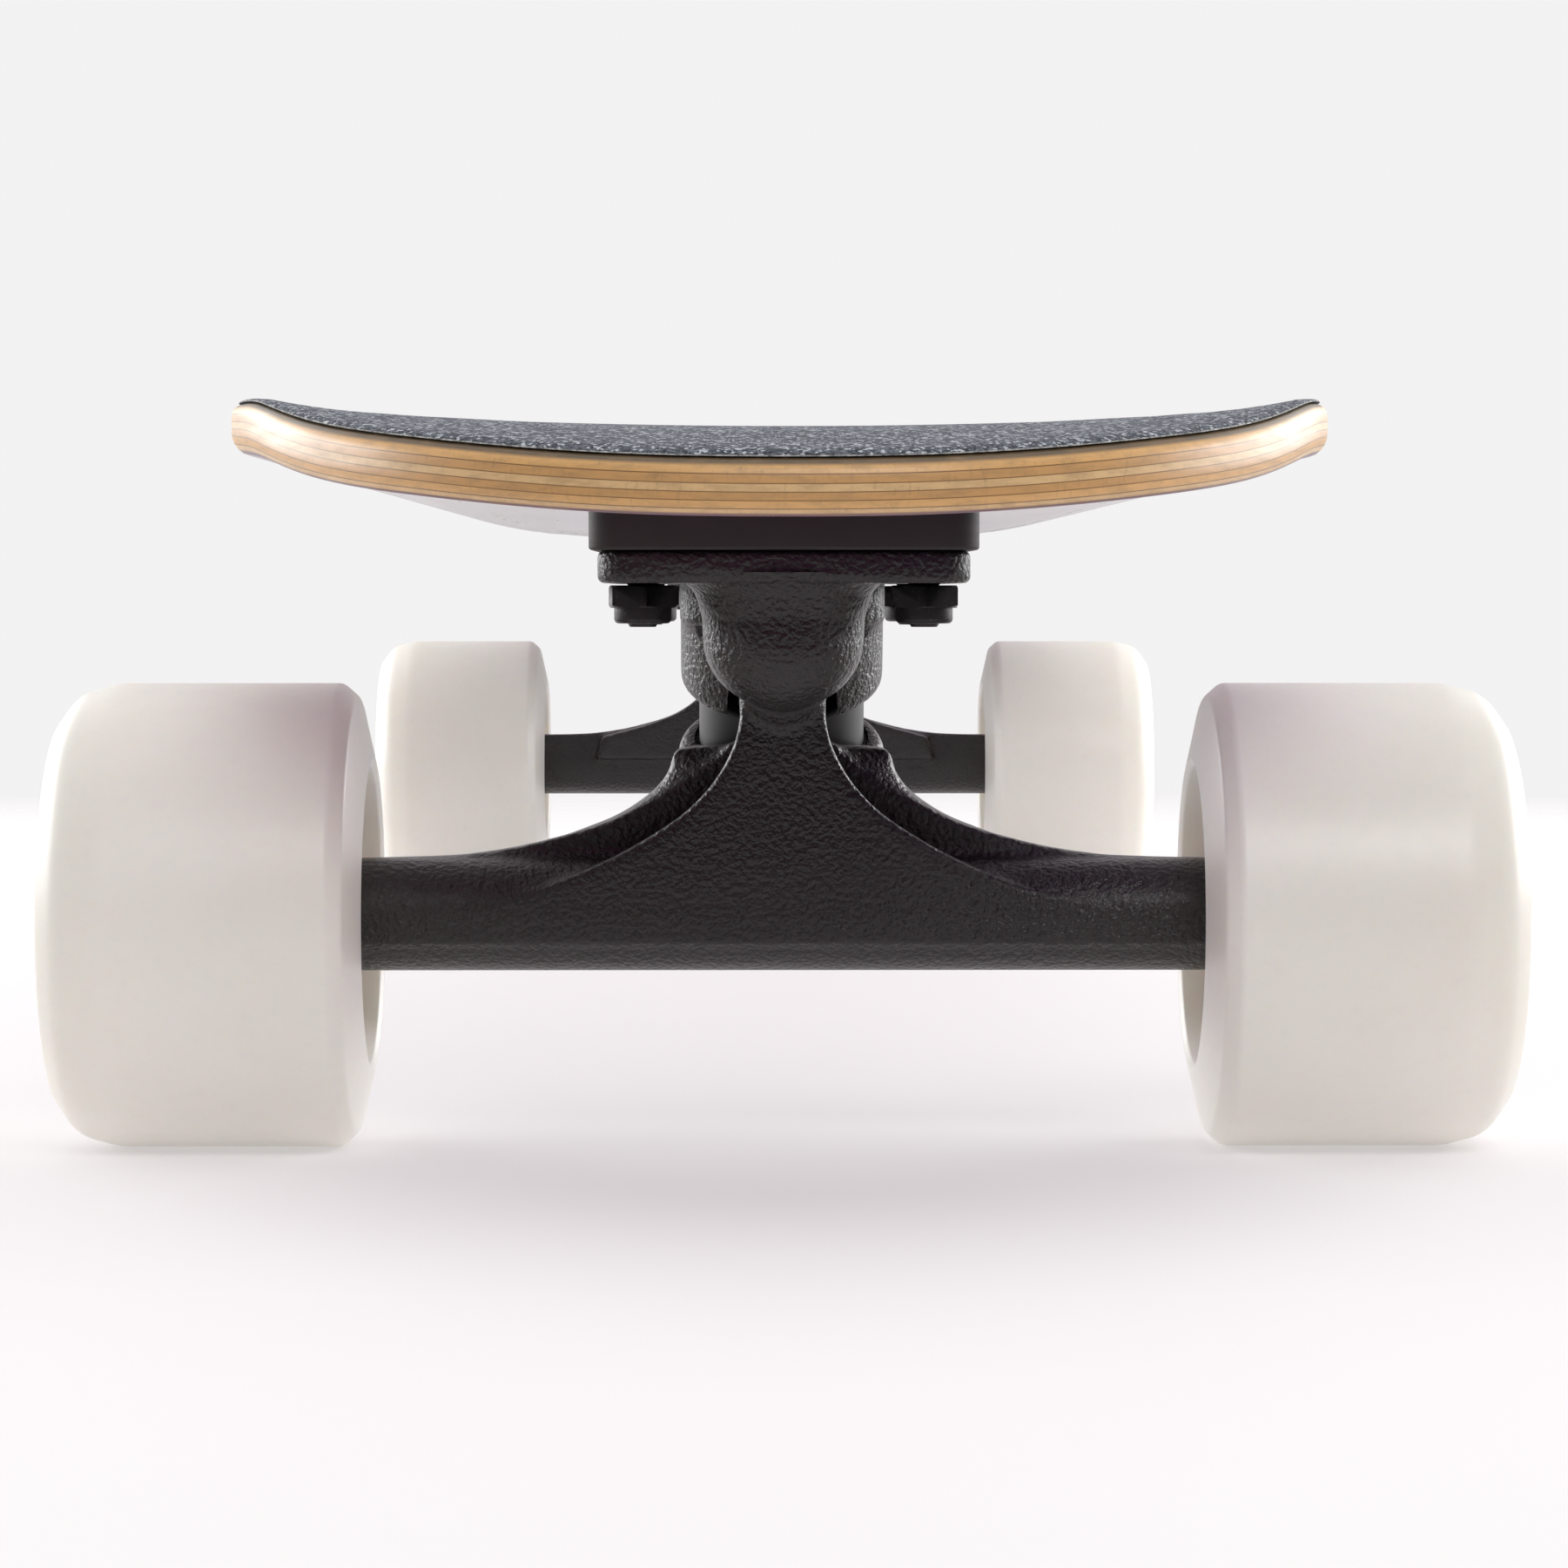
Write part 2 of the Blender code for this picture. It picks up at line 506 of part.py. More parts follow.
def build_wheel(truck, side, parent_y, sign, mats):
    """One wheel with its bearings, spacer and nut. sign is +1 on the right."""
    name = f"{truck}_{side}"
    centre = Vector((sign * WHEEL_CENTRE_X, parent_y, AXLE_HEIGHT))
    hub = add_empty(name + "_hub", centre)
    axis = Vector((sign, 0, 0))
    shift = WHEEL_CENTRE_X
    seat = BEARING_RADIUS + GAP
    inner, outer = BEARING_CENTRES
    stop_in = inner + BEARING_WIDTH / 2 + GAP
    stop_out = outer - BEARING_WIDTH / 2 - GAP
    tread = WHEEL_RADIUS / math.cos(math.pi / WHEEL_SIDES)

    tyre = [(66.3 * MM, tread), (98 * MM, tread), (103.5 * MM, 33.8 * MM), (107.5 * MM, 30.5 * MM)]
    tyre += [(109 * MM, 27 * MM), (108.6 * MM, 24.5 * MM), (98.3 * MM, 15.5 * MM), (98.3 * MM, seat)]
    tyre += [(stop_out, seat), (stop_out, 8.5 * MM), (stop_in, 8.5 * MM), (stop_in, seat)]
    tyre += [(72.8 * MM, seat), (72.8 * MM, 16.5 * MM), (61.8 * MM, 23.9 * MM), (64 * MM, 33 * MM)]
    profile = [(along - shift, radius) for along, radius in tyre]
    bm = turned(profile, (0, 0, 0), axis, WHEEL_SIDES, flat_down=True)
    add_object(name + "_wheel", bm, mats["wheel"], parent=hub)

    half = BEARING_WIDTH / 2
    for label, along in (("inner", inner), ("outer", outer)):
        ring = [(along - half - shift, AXLE_BORE), (along - half - shift, BEARING_RADIUS)]
        ring += [(along + half - shift, BEARING_RADIUS), (along + half - shift, AXLE_BORE)]
        bm = turned(ring, (0, 0, 0), axis, 18)
        add_object(f"{name}_bearing_{label}", bm, mats["bright"], parent=hub)

    low = stop_in - shift
    high = stop_out - shift
    sleeve = [(low, AXLE_BORE), (low, SPACER_RADIUS), (high, SPACER_RADIUS), (high, AXLE_BORE)]
    add_object(name + "_spacer", turned(sleeve, (0, 0, 0), axis, 14), mats["bright"], parent=hub)

    start = Vector((sign * (AXLE_NUT_START - shift), 0, 0))
    nut_body(
        name + "_axle_nut", mats["bright"], hub, start, axis,
        **AXLE_NUT,
    )


def build_all():
    clear_scene()
    mats = {
        "casting": material("black_casting", (0.02, 0.02, 0.022), 0.5, 0.3),
        "pad": material("riser_plastic", (0.02, 0.016, 0.016), 0.65),
        "plastic": material("pivot_plastic", (0.03, 0.03, 0.03), 0.6),
        "urethane": material("bushing_urethane", (0.06, 0.06, 0.065), 0.5),
        "steel": material("black_steel", (0.03, 0.03, 0.03), 0.45, 0.6),
        "bright": material("bright_steel", (0.6, 0.6, 0.6), 0.3, 1.0),
        "wheel": material("wheel_urethane", (0.85, 0.82, 0.75), 0.35),
    }
    build_deck()
    build_bolts(mats)
    for truck, axle_y, turn in (("front", FRONT_AXLE_Y, math.pi), ("rear", REAR_AXLE_Y, 0.0)):
        build_truck(truck, axle_y, turn, mats)
        for side, sign in (("left", -1), ("right", 1)):
            build_wheel(truck, side, axle_y, sign, mats)


build_all()
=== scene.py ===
import json
import math
import bmesh
import bpy
from mathutils import Matrix, Vector


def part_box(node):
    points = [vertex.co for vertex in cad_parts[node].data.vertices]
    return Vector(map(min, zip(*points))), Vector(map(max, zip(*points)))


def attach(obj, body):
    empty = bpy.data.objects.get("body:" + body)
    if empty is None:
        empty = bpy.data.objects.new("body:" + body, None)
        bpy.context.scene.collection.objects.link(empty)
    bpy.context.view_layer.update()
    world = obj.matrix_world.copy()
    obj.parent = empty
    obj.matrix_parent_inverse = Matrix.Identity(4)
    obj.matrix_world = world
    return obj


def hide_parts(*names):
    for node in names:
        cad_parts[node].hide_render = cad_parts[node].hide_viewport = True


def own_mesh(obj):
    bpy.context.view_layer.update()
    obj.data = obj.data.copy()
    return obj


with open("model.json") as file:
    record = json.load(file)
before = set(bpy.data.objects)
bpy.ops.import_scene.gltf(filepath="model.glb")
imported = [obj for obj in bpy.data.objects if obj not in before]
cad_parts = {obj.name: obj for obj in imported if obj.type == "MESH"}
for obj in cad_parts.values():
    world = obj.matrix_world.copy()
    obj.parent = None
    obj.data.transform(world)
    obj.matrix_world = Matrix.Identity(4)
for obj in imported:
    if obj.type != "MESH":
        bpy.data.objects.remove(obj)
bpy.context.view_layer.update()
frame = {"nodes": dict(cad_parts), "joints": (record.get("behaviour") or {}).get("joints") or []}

mm = 0.001
nodes = frame["nodes"]
print("frame loaded:", len(nodes), "solids")


# ---- modelling helpers: everything is shaped with the mesh operators

def deselectAll():
    if bpy.context.mode != "OBJECT":
        bpy.ops.object.mode_set(mode="OBJECT")
    bpy.ops.object.select_all(action="DESELECT")


def only(obj):
    deselectAll()
    obj.select_set(True)
    bpy.context.view_layer.objects.active = obj
    return obj


def named(name):
    obj = bpy.context.object
    obj.name = name
    obj.data.name = name
    return obj


def settle(obj):
    # put the object's place into its mesh
    only(obj)
    bpy.ops.object.transform_apply(location=True, rotation=True, scale=True)
    return obj


def modify(obj, kind, **settings):
    only(obj)
    mod = obj.modifiers.new(kind.lower(), kind)
    for key, value in settings.items():
        setattr(mod, key, value)
    bpy.ops.object.modifier_apply(modifier=mod.name)
    return obj


def smooth(obj, angle=35):
    only(obj)
    bpy.ops.object.shade_smooth_by_angle(angle=math.radians(angle))
    return obj


def drawLine(name, points, closed):
    # one vertex, extruded from point to point
    deselectAll()
    bpy.ops.mesh.primitive_plane_add(size=mm, location=points[0])
    obj = named(name)
    settle(obj)
    bpy.ops.object.mode_set(mode="EDIT")
    bpy.ops.mesh.select_mode(type="VERT")
    bpy.ops.mesh.select_all(action="SELECT")
    bpy.ops.mesh.merge(type="CENTER")
    for here, there in zip(points, points[1:]):
        step = Vector(there) - Vector(here)
        bpy.ops.mesh.extrude_vertices_move(TRANSFORM_OT_translate={"value": step})
    if closed:
        mesh = bmesh.from_edit_mesh(obj.data)
        mesh.verts.ensure_lookup_table()
        ends = [v for v in mesh.verts if len(v.link_edges) == 1]
        for vert in mesh.verts:
            vert.select = vert in ends
        mesh.select_flush_mode()
        bmesh.update_edit_mesh(obj.data)
        bpy.ops.mesh.edge_face_add()
    return obj


def axisTurn(axis):
    axis = Vector(axis).normalized()
    side = Vector((0, 0, 1)) if abs(axis.x) > 0.5 else Vector((1, 0, 0))
    side = (side - axis * side.dot(axis)).normalized()
    return axis, side


def lathe(name, profile, centre=(0, 0, 0), axis=(0, 0, 1), steps=64, angle=35):
    # profile: (along, radius) in millimetres; one that stays off the axis is a closed ring
    axis, side = axisTurn(axis)
    centre = Vector(centre)
    points = [centre + axis * (along * mm) + side * (radius * mm) for along, radius in profile]
    ring = profile[0][1] > 0
    obj = drawLine(name, points, ring)
    bpy.ops.mesh.select_all(action="SELECT")
    bpy.ops.mesh.spin(steps=steps, angle=math.tau, center=centre, axis=axis)
    bpy.ops.mesh.select_all(action="SELECT")
    bpy.ops.mesh.remove_doubles(threshold=0.002 * mm)
    bpy.ops.mesh.normals_make_consistent(inside=False)
    bpy.ops.object.mode_set(mode="OBJECT")
    return smooth(obj, angle)


def slab(name, outline, low, high):
    # outline: (x, z) in millimetres for the right half, mirrored; thick from y low to y high
    mirrored = [(-x, z) for x, z in reversed(outline) if x > 0.01]
    points = [Vector((x, low, z)) * mm for x, z in outline + mirrored]
    obj = drawLine(name, points, True)
    bpy.ops.mesh.select_all(action="SELECT")
    bpy.ops.mesh.edge_face_add()
    bpy.ops.mesh.extrude_region_move(TRANSFORM_OT_translate={"value": (0, (high - low) * mm, 0)})
    bpy.ops.mesh.select_all(action="SELECT")
    bpy.ops.mesh.normals_make_consistent(inside=False)
    bpy.ops.object.mode_set(mode="OBJECT")
    return obj


def block(name, size, centre, corner=0.0, edge=0.0):
    # a block in millimetres with rounded upright corners and eased edges
    deselectAll()
    bpy.ops.mesh.primitive_cube_add(size=1, location=Vector(centre) * mm)
    obj = named(name)
    obj.scale = Vector(size) * mm
    settle(obj)
    if corner:
        bpy.ops.object.mode_set(mode="EDIT")
        bpy.ops.mesh.select_mode(type="EDGE")
        mesh = bmesh.from_edit_mesh(obj.data)
        for e in mesh.edges:
            rise = abs(e.verts[0].co.z - e.verts[1].co.z)
            e.select = rise > size[2] * mm * 0.5
        mesh.select_flush_mode()
        bmesh.update_edit_mesh(obj.data)
        bpy.ops.mesh.bevel(offset=corner * mm, segments=6, profile=0.5)
        bpy.ops.object.mode_set(mode="OBJECT")
    if edge:
        sharp = math.radians(50)
        modify(obj, "BEVEL", width=edge * mm, segments=4, limit_method="ANGLE", angle_limit=sharp)
    return obj


def carve(obj, tool, operation="DIFFERENCE"):
    modify(obj, "BOOLEAN", operation=operation, object=tool, solver="EXACT")
    bpy.data.objects.remove(tool, do_unlink=True)
    return obj


def melt(name, parts, voxel, rounds):
    # separate shapes run together like a casting
    only(parts[0])
    for part in parts[1:]:
        part.select_set(True)
    bpy.ops.object.join()
    obj = named(name)
    modify(obj, "REMESH", mode="VOXEL", voxel_size=voxel * mm, use_smooth_shade=True)
    modify(obj, "SMOOTH", factor=0.5, iterations=rounds)
    return obj


def copyOf(obj, name, matrix):
    twin = obj.copy()
    twin.data = obj.data.copy()
    twin.name = name
    twin.data.name = name
    bpy.context.scene.collection.objects.link(twin)
    twin.data.transform(matrix)
    return twin


def rounded(points, radii, steps=5):
    # an open line of 2D points whose corners become arcs
    out = [points[0]]
    for i in range(1, len(points) - 1):
        radius = radii.get(i, 0)
        here = Vector(points[i])
        if radius <= 0:
            out.append(points[i])
            continue
        back = (Vector(points[i - 1]) - here).normalized()
        ahead = (Vector(points[i + 1]) - here).normalized()
        half = back.angle(ahead) / 2
        reach = radius / math.tan(half)
        start, end = here + back * reach, here + ahead * reach
        middle = here + (back + ahead).normalized() * (radius / math.sin(half))
        first, last = start - middle, end - middle
        sweep = first.angle_signed(last)
        for k in range(steps + 1):
            turn = -sweep * k / steps
            spoke = Matrix.Rotation(turn, 2) @ first
            out.append(tuple(middle + spoke))
    out.append(points[-1])
    return out


def flowing(points, steps=6):
    # a smooth line through the points
    out = []
    for i in range(len(points) - 1):
        p = [Vector(points[max(0, min(len(points) - 1, i + k))]) for k in (-1, 0, 1, 2)]
        for k in range(steps):
            t = k / steps
            a = (p[1] * 2 + (p[2] - p[0]) * t) * 0.5
            b = (p[0] * 2 - p[1] * 5 + p[2] * 4 - p[3]) * (t * t * 0.5)
            c = (p[1] * 3 - p[0] - p[2] * 3 + p[3]) * (t * t * t * 0.5)
            out.append(tuple(a + b + c))
    out.append(points[-1])
    return out


# ---- shader helpers

class Value:
    # a socket that can be used in sums
    def __init__(self, tree, socket):
        self.tree = tree
        self.socket = socket

    def maths(self, operation, *others, swap=False):
        node = self.tree.nodes.new("ShaderNodeMath")
        node.operation = operation
        sources = [self, *others]
        if swap:
            sources.reverse()
        for slotIn, source in zip(node.inputs, sources):
            if isinstance(source, Value):
                self.tree.links.new(source.socket, slotIn)
            else:
                slotIn.default_value = source
        return Value(self.tree, node.outputs[0])

    def __add__(self, other):
        return self.maths("ADD", other)

    def __sub__(self, other):
        return self.maths("SUBTRACT", other)

    def __rsub__(self, other):
        return self.maths("SUBTRACT", other, swap=True)

    def __mul__(self, other):
        return self.maths("MULTIPLY", other)

    __radd__ = __add__
    __rmul__ = __mul__

    def above(self, edge):
        return self.maths("GREATER_THAN", edge)

    def limited(self):
        return self.maths("MAXIMUM", 0.0).maths("MINIMUM", 1.0)


class Finish:
    # one material under construction
    def __init__(self, name, colour, roughness, **fixed):
        self.material = bpy.data.materials.new(name)
        self.material.use_nodes = True
        self.tree = self.material.node_tree
        self.shader = self.tree.nodes["Principled BSDF"]
        self.shader.inputs["Base Color"].default_value = (*colour, 1)
        self.shader.inputs["Roughness"].default_value = roughness
        for key, value in fixed.items():
            self.shader.inputs[key.replace("_", " ")].default_value = value
        self.material.diffuse_color = (*colour, 1)
        self.place = self.node("ShaderNodeTexCoord", out="Object")

    def node(self, kind, settings=None, out=0, stops=None, **inputs):
        node = self.tree.nodes.new(kind)
        for key, value in (settings or {}).items():
            setattr(node, key, value)
        if stops:
            ramp = node.color_ramp
            while len(ramp.elements) < len(stops):
                ramp.elements.new(1.0)
            for element, (position, colour) in zip(ramp.elements, stops):
                element.position = position
                element.color = (*colour, 1)
        for key, value in inputs.items():
            numbered = key[0] == "i" and key[1:].isdigit()
            socket = node.inputs[int(key[1:]) if numbered else key]
            if isinstance(value, Value):
                self.tree.links.new(value.socket, socket)
            else:
                socket.default_value = value
        return Value(self.tree, node.outputs[out])

    def stretched(self, scale, turn=(0, 0, 0)):
        return self.node("ShaderNodeMapping", Vector=self.place, Scale=scale, Rotation=turn)

    def noise(self, scale, detail=3.0, rough=0.55, vector=None):
        where = vector or self.place
        return self.node("ShaderNodeTexNoise", Vector=where, Scale=scale, Detail=detail, Roughness=rough)

    def ramp(self, value, *stops):
        return self.node("ShaderNodeValToRGB", stops=stops, Fac=value)

    def blend(self, factor, low, high):
        low = (*low, 1) if isinstance(low, tuple) else low
        high = (*high, 1) if isinstance(high, tuple) else high
        return self.node("ShaderNodeMix", {"data_type": "RGBA"}, out=2, i0=factor, i6=low, i7=high)

    def feed(self, name, value):
        self.tree.links.new(value.socket, self.shader.inputs[name])

    def bump(self, height, strength, distance, under=None):
        inputs = {"Height": height, "Strength": strength, "Distance": distance}
        if under:
            inputs["Normal"] = under
        return self.node("ShaderNodeBump", **inputs)


def castBlack():
    # powder coat over a rough sand casting
    f = Finish("castBlack", (0.013, 0.011, 0.0105), 0.4, Coat_Weight=0.12, Coat_Roughness=0.3)
    grit = f.noise(1200, 2, 0.5)
    peel = f.noise(620, 3, 0.6)
    cloud = f.noise(45, 3, 0.6)
    f.feed("Base Color", f.ramp(cloud, (0.3, (0.01, 0.0078, 0.0076)), (0.75, (0.016, 0.0133, 0.0128))))
    f.feed("Roughness", grit * 0.2 + cloud * 0.12 + 0.2)
    coarse = f.bump(peel, 0.6, 0.3 * mm)
    f.feed("Normal", f.bump(grit, 0.9, 0.6 * mm, coarse))
    return f.material


def riserBlack():
    f = Finish("riserBlack", (0.02, 0.015, 0.014), 0.55)
    cloud = f.noise(60, 4, 0.6)
    scratch = f.noise(120, 3, 0.7, f.stretched((0.4, 0.4, 9.0), (0, 0.5, 0)))
    f.feed("Base Color", f.ramp(cloud, (0.3, (0.017, 0.0125, 0.012)), (0.7, (0.027, 0.021, 0.02))))
    f.feed("Roughness", cloud * 0.2 + scratch * 0.2 + 0.38)
    f.feed("Normal", f.bump(f.noise(700, 3) * 0.6 + scratch * 0.4, 0.22, 0.12 * mm))
    return f.material


def bushingGrey():
    f = Finish("bushingGrey", (0.055, 0.056, 0.06), 0.5)
    cloud = f.noise(90, 3)
    f.feed("Base Color", f.ramp(cloud, (0.3, (0.024, 0.024, 0.026)), (0.7, (0.038, 0.038, 0.041))))
    f.feed("Roughness", cloud * 0.25 + 0.36)
    f.feed("Normal", f.bump(f.noise(500, 3), 0.12, 0.08 * mm))
    return f.material


def blackSteel():
    f = Finish("blackSteel", (0.03, 0.028, 0.028), 0.4, Metallic=0.55)
    cloud = f.noise(220, 4, 0.65)
    wear = f.noise(1500, 2).above(0.66)
    oxide = f.ramp(cloud, (0.3, (0.02, 0.0185, 0.0185)), (0.75, (0.04, 0.037, 0.036)))
    f.feed("Base Color", f.blend(wear * 0.35, oxide, (0.12, 0.115, 0.11)))
    f.feed("Roughness", cloud * 0.3 + 0.28)
    f.feed("Normal", f.bump(cloud, 0.2, 0.08 * mm))
    return f.material


def brightSteel():
    f = Finish("brightSteel", (0.6, 0.59, 0.57), 0.28, Metallic=1.0)
    lines = f.noise(900, 2, 0.5, f.stretched((6.0, 0.3, 0.3)))
    cloud = f.noise(150, 4)
    f.feed("Base Color", f.ramp(cloud, (0.3, (0.5, 0.49, 0.47)), (0.7, (0.68, 0.67, 0.65))))
    f.feed("Roughness", lines * 0.18 + cloud * 0.12 + 0.16)
    f.feed("Normal", f.bump(lines, 0.1, 0.05 * mm))
    return f.material


def urethane():
    # creamy cast wheel, a little translucent, with faint road dust on the tread
    milky = {"Subsurface_Weight": 0.35, "Subsurface_Scale": 0.012, "IOR": 1.49}
    f = Finish("wheelUrethane", (0.86, 0.84, 0.78), 0.33, **milky)
    f.shader.inputs["Subsurface Radius"].default_value = (1.0, 0.75, 0.45)
    cloud = f.noise(28, 4, 0.55)
    dust = f.noise(420, 5, 0.7)
    cream = f.ramp(cloud, (0.3, (0.86, 0.835, 0.77)), (0.72, (0.9, 0.88, 0.83)))
    f.feed("Base Color", f.blend((dust - 0.52).limited() * 0.5, cream, (0.7, 0.66, 0.6)))
    f.feed("Roughness", cloud * 0.14 + dust * 0.16 + 0.22)
    f.feed("Normal", f.bump(f.noise(160, 3) * 0.7 + dust * 0.3, 0.06, 0.12 * mm))
    return f.material


def gripGrit():
    # silicon carbide grains: blue-grey facets, with scattered grains painted pale as a painted glint
    f = Finish("gripGrit", (0.05, 0.056, 0.072), 0.7)
    cells = f.node("ShaderNodeTexVoronoi", out="Color", Vector=f.place, Scale=2100.0)
    pick = f.node("ShaderNodeSeparateColor", Color=cells)
    lumps = f.node("ShaderNodeTexVoronoi", out="Distance", Vector=f.place, Scale=2100.0)
    fine = f.noise(3200, 3, 0.7)
    base = f.ramp(pick * 0.6 + fine * 0.4, (0.2, (0.016, 0.02, 0.032)), (0.5, (0.1, 0.112, 0.14)),
                  (0.8, (0.26, 0.275, 0.32)))
    # a few grains get a pale colour: a painted glint of their facets; their lower roughness is real
    paintedGlint = pick.above(0.86)
    f.feed("Base Color", f.blend(paintedGlint, base, (0.55, 0.58, 0.64)))
    f.feed("Roughness", 0.8 - paintedGlint * 0.5)
    f.feed("Normal", f.bump((1 - lumps) * 0.6 + fine * 0.4, 1.0, 0.5 * mm))
    return f.material


def gripCut():
    # the sanded edge of the grip sheet: worn pale in chips
    f = Finish("gripCut", (0.4, 0.4, 0.38), 0.8)
    chips = f.noise(900, 4, 0.7)
    worn = ((0.35, (0.1, 0.1, 0.1)), (0.5, (0.34, 0.34, 0.32)), (0.66, (0.7, 0.69, 0.66)))
    f.feed("Base Color", f.ramp(chips, *worn))
    f.feed("Normal", f.bump(chips, 0.6, 0.2 * mm))
    return f.material


def plyWood():
    # seven veneers read from the depth attribute, with dark glue lines between them
    f = Finish("plyWood", (0.66, 0.5, 0.32), 0.45, Coat_Weight=0.12, Coat_Roughness=0.3)
    depth = f.node("ShaderNodeAttribute", {"attribute_name": "plyDepth"}, out="Fac")
    wobble = f.noise(30, 3) - 0.5
    level = depth + wobble * 0.012
    light, tan, warm = (0.82, 0.55, 0.28), (0.68, 0.38, 0.155), (0.8, 0.46, 0.18)
    glue, olive, violet = (0.13, 0.05, 0.018), (0.13, 0.088, 0.045), (0.17, 0.085, 0.11)
    bands = ((0.0, olive), (0.1, olive), (0.15, warm), (0.255, warm), (0.27, glue), (0.285, tan),
             (0.41, tan), (0.422, glue), (0.436, light), (0.55, light), (0.562, glue), (0.576, tan),
             (0.69, tan), (0.702, glue), (0.716, warm), (0.83, warm), (0.842, glue), (0.856, light),
             (0.91, light), (0.95, violet))
    layers = f.ramp(level, *bands)
    grain = f.noise(260, 4, 0.65, f.stretched((1.0, 0.12, 3.5)))
    pores = f.noise(1300, 3, 0.7, f.stretched((1.0, 1.0, 0.3)))
    shade = f.blend((grain - 0.42).limited() * 1.6, layers, (0.36, 0.22, 0.11))
    f.feed("Base Color", f.blend((pores - 0.56).limited() * 1.5, shade, (0.24, 0.14, 0.07)))
    f.feed("Roughness", grain * 0.25 + 0.28)
    f.feed("Normal", f.bump(grain * 0.6 + pores * 0.4, 0.18, 0.12 * mm))
    return f.material


def underPaint():
    # whitewashed maple, stained magenta and violet towards both ends in soft ragged bands
    f = Finish("underPaint", (0.78, 0.75, 0.77), 0.3, Coat_Weight=0.5, Coat_Roughness=0.12)
    grain = f.noise(110, 5, 0.6, f.stretched((1.0, 0.05, 1.0)))
    sweep = f.noise(9, 2, 0.5, f.stretched((1.0, 0.4, 1.0)))
    lengthways = f.node("ShaderNodeSeparateXYZ", out=1, Vector=f.place).maths("ABSOLUTE")
    ends = ((lengthways - 0.335) * 16 + (sweep - 0.5) * 3).limited()
    pale = f.ramp(sweep, (0.35, (0.8, 0.78, 0.8)), (0.65, (0.72, 0.68, 0.73)))
    stains = ((0.38, (0.42, 0.015, 0.2)), (0.5, (0.5, 0.04, 0.27)), (0.62, (0.22, 0.03, 0.26)))
    stain = f.ramp(sweep, *stains)
    paint = f.blend(ends, pale, stain)
    f.feed("Base Color", f.blend((grain - 0.54).limited() * 0.9, paint, (0.3, 0.2, 0.24)))
    f.feed("Roughness", grain * 0.2 + 0.2)
    f.feed("Normal", f.bump(grain, 0.1, 0.1 * mm))
    return f.material


def sealBlack():
    f = Finish("bearingSeal", (0.03, 0.03, 0.032), 0.5)
    f.feed("Roughness", f.noise(600, 3) * 0.3 + 0.35)
    cloud = f.noise(200, 3)
    f.feed("Base Color", f.ramp(cloud, (0.3, (0.024, 0.024, 0.026)), (0.7, (0.045, 0.045, 0.048))))
    f.feed("Normal", f.bump(f.noise(900, 2), 0.15, 0.05 * mm))
    return f.material


finishes = {
    "cast": castBlack(), "riser": riserBlack(), "bushing": bushingGrey(), "black": blackSteel(),
    "bright": brightSteel(), "wheel": urethane(), "grit": gripGrit(), "gritCut": gripCut(),
    "ply": plyWood(), "paint": underPaint(), "seal": sealBlack(),
}
print("finishes made:", len(finishes))


def dress(obj, *keys):
    obj.data.materials.clear()
    for key in keys:
        obj.data.materials.append(finishes[key])
    return obj


def stand(obj, body, slotName, *replaced):
    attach(obj, body)
    if replaced:
        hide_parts(*replaced)


# ---- places, read from the frame

def middleOf(node):
    low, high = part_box(node)
    return (low + high) / 2


jointOf = {joint["name"]: joint for joint in frame["joints"]}
trucks = {}
for truckName, turn in (("front", math.pi), ("rear", 0.0)):
    spot = Matrix.Translation(middleOf(truckName + "_axle")) @ Matrix.Rotation(turn, 4, "Z")
    trucks[truckName] = spot
rearJoint = jointOf["rear_steer"]
ringCentre = trucks["rear"].inverted() @ Vector(rearJoint["pos_m"])
steerAxis = Vector(rearJoint["axis"]).normalized()
pivotPoint = ringCentre + steerAxis * (43.17 * mm)
tilt = math.radians(25)
kingpinAxis = Vector((0, math.sin(tilt), math.cos(tilt)))


# ---- deck and grip: rings from the middle of the top, over the rail, to the middle of the underside

deckShape = {
    "length": 885.0, "thickness": 8.0, "halfWidth": 105.0, "taper": 38.2, "tip": 100.0, "tipPower": 2.5,
    "top": 106.6, "dish": 0.00065, "railLift": 4.8, "liftStart": 60.0, "liftSpan": 36.5,
    "tipFlatness": 0.7, "flatTip": 25.0, "flatBlend": 55.0, "noseDip": 5.5, "noseDipLength": 70.0,
    "tailKick": 20.0, "tailKickLength": 110.0, "rail": 2.6, "around": 320, "paintDepth": 7.75,
}
# the grip stops short of the rail, thins towards its edge and is sunk a little into the deck
gripShape = {
    "inset": 1.2, "sunk": 0.1, "edge": ((0.0, 0.0), (0.05, 0.18), (0.3, 0.36), (1.0, 0.6), (2.2, 0.8)),
}
ringScales = (
    0.02, 0.12, 0.24, 0.36, 0.48, 0.58, 0.66, 0.73, 0.79, 0.84, 0.88, 0.91, 0.935, 0.955, 0.972, 0.988,
)


def eased(t):
    t = max(0, min(1, t))
    return t * t * (3 - 2 * t)


def deckTop(x, y):
    d = deckShape
    half = d["length"] / 2
    lift = d["railLift"] * (max(0, abs(x) - d["liftStart"]) / d["liftSpan"]) ** 2
    flat = 1 - d["tipFlatness"] * (1 - eased((half - abs(y) - d["flatTip"]) / d["flatBlend"]))
    nose = max(0, (d["noseDipLength"] - (half + y)) / d["noseDipLength"])
    tail = max(0, (d["tailKickLength"] - (half - y)) / d["tailKickLength"])
    ends = d["tailKick"] * tail ** 2 - d["noseDip"] * nose ** 2
    return d["top"] + (d["dish"] * x * x + lift) * flat + ends


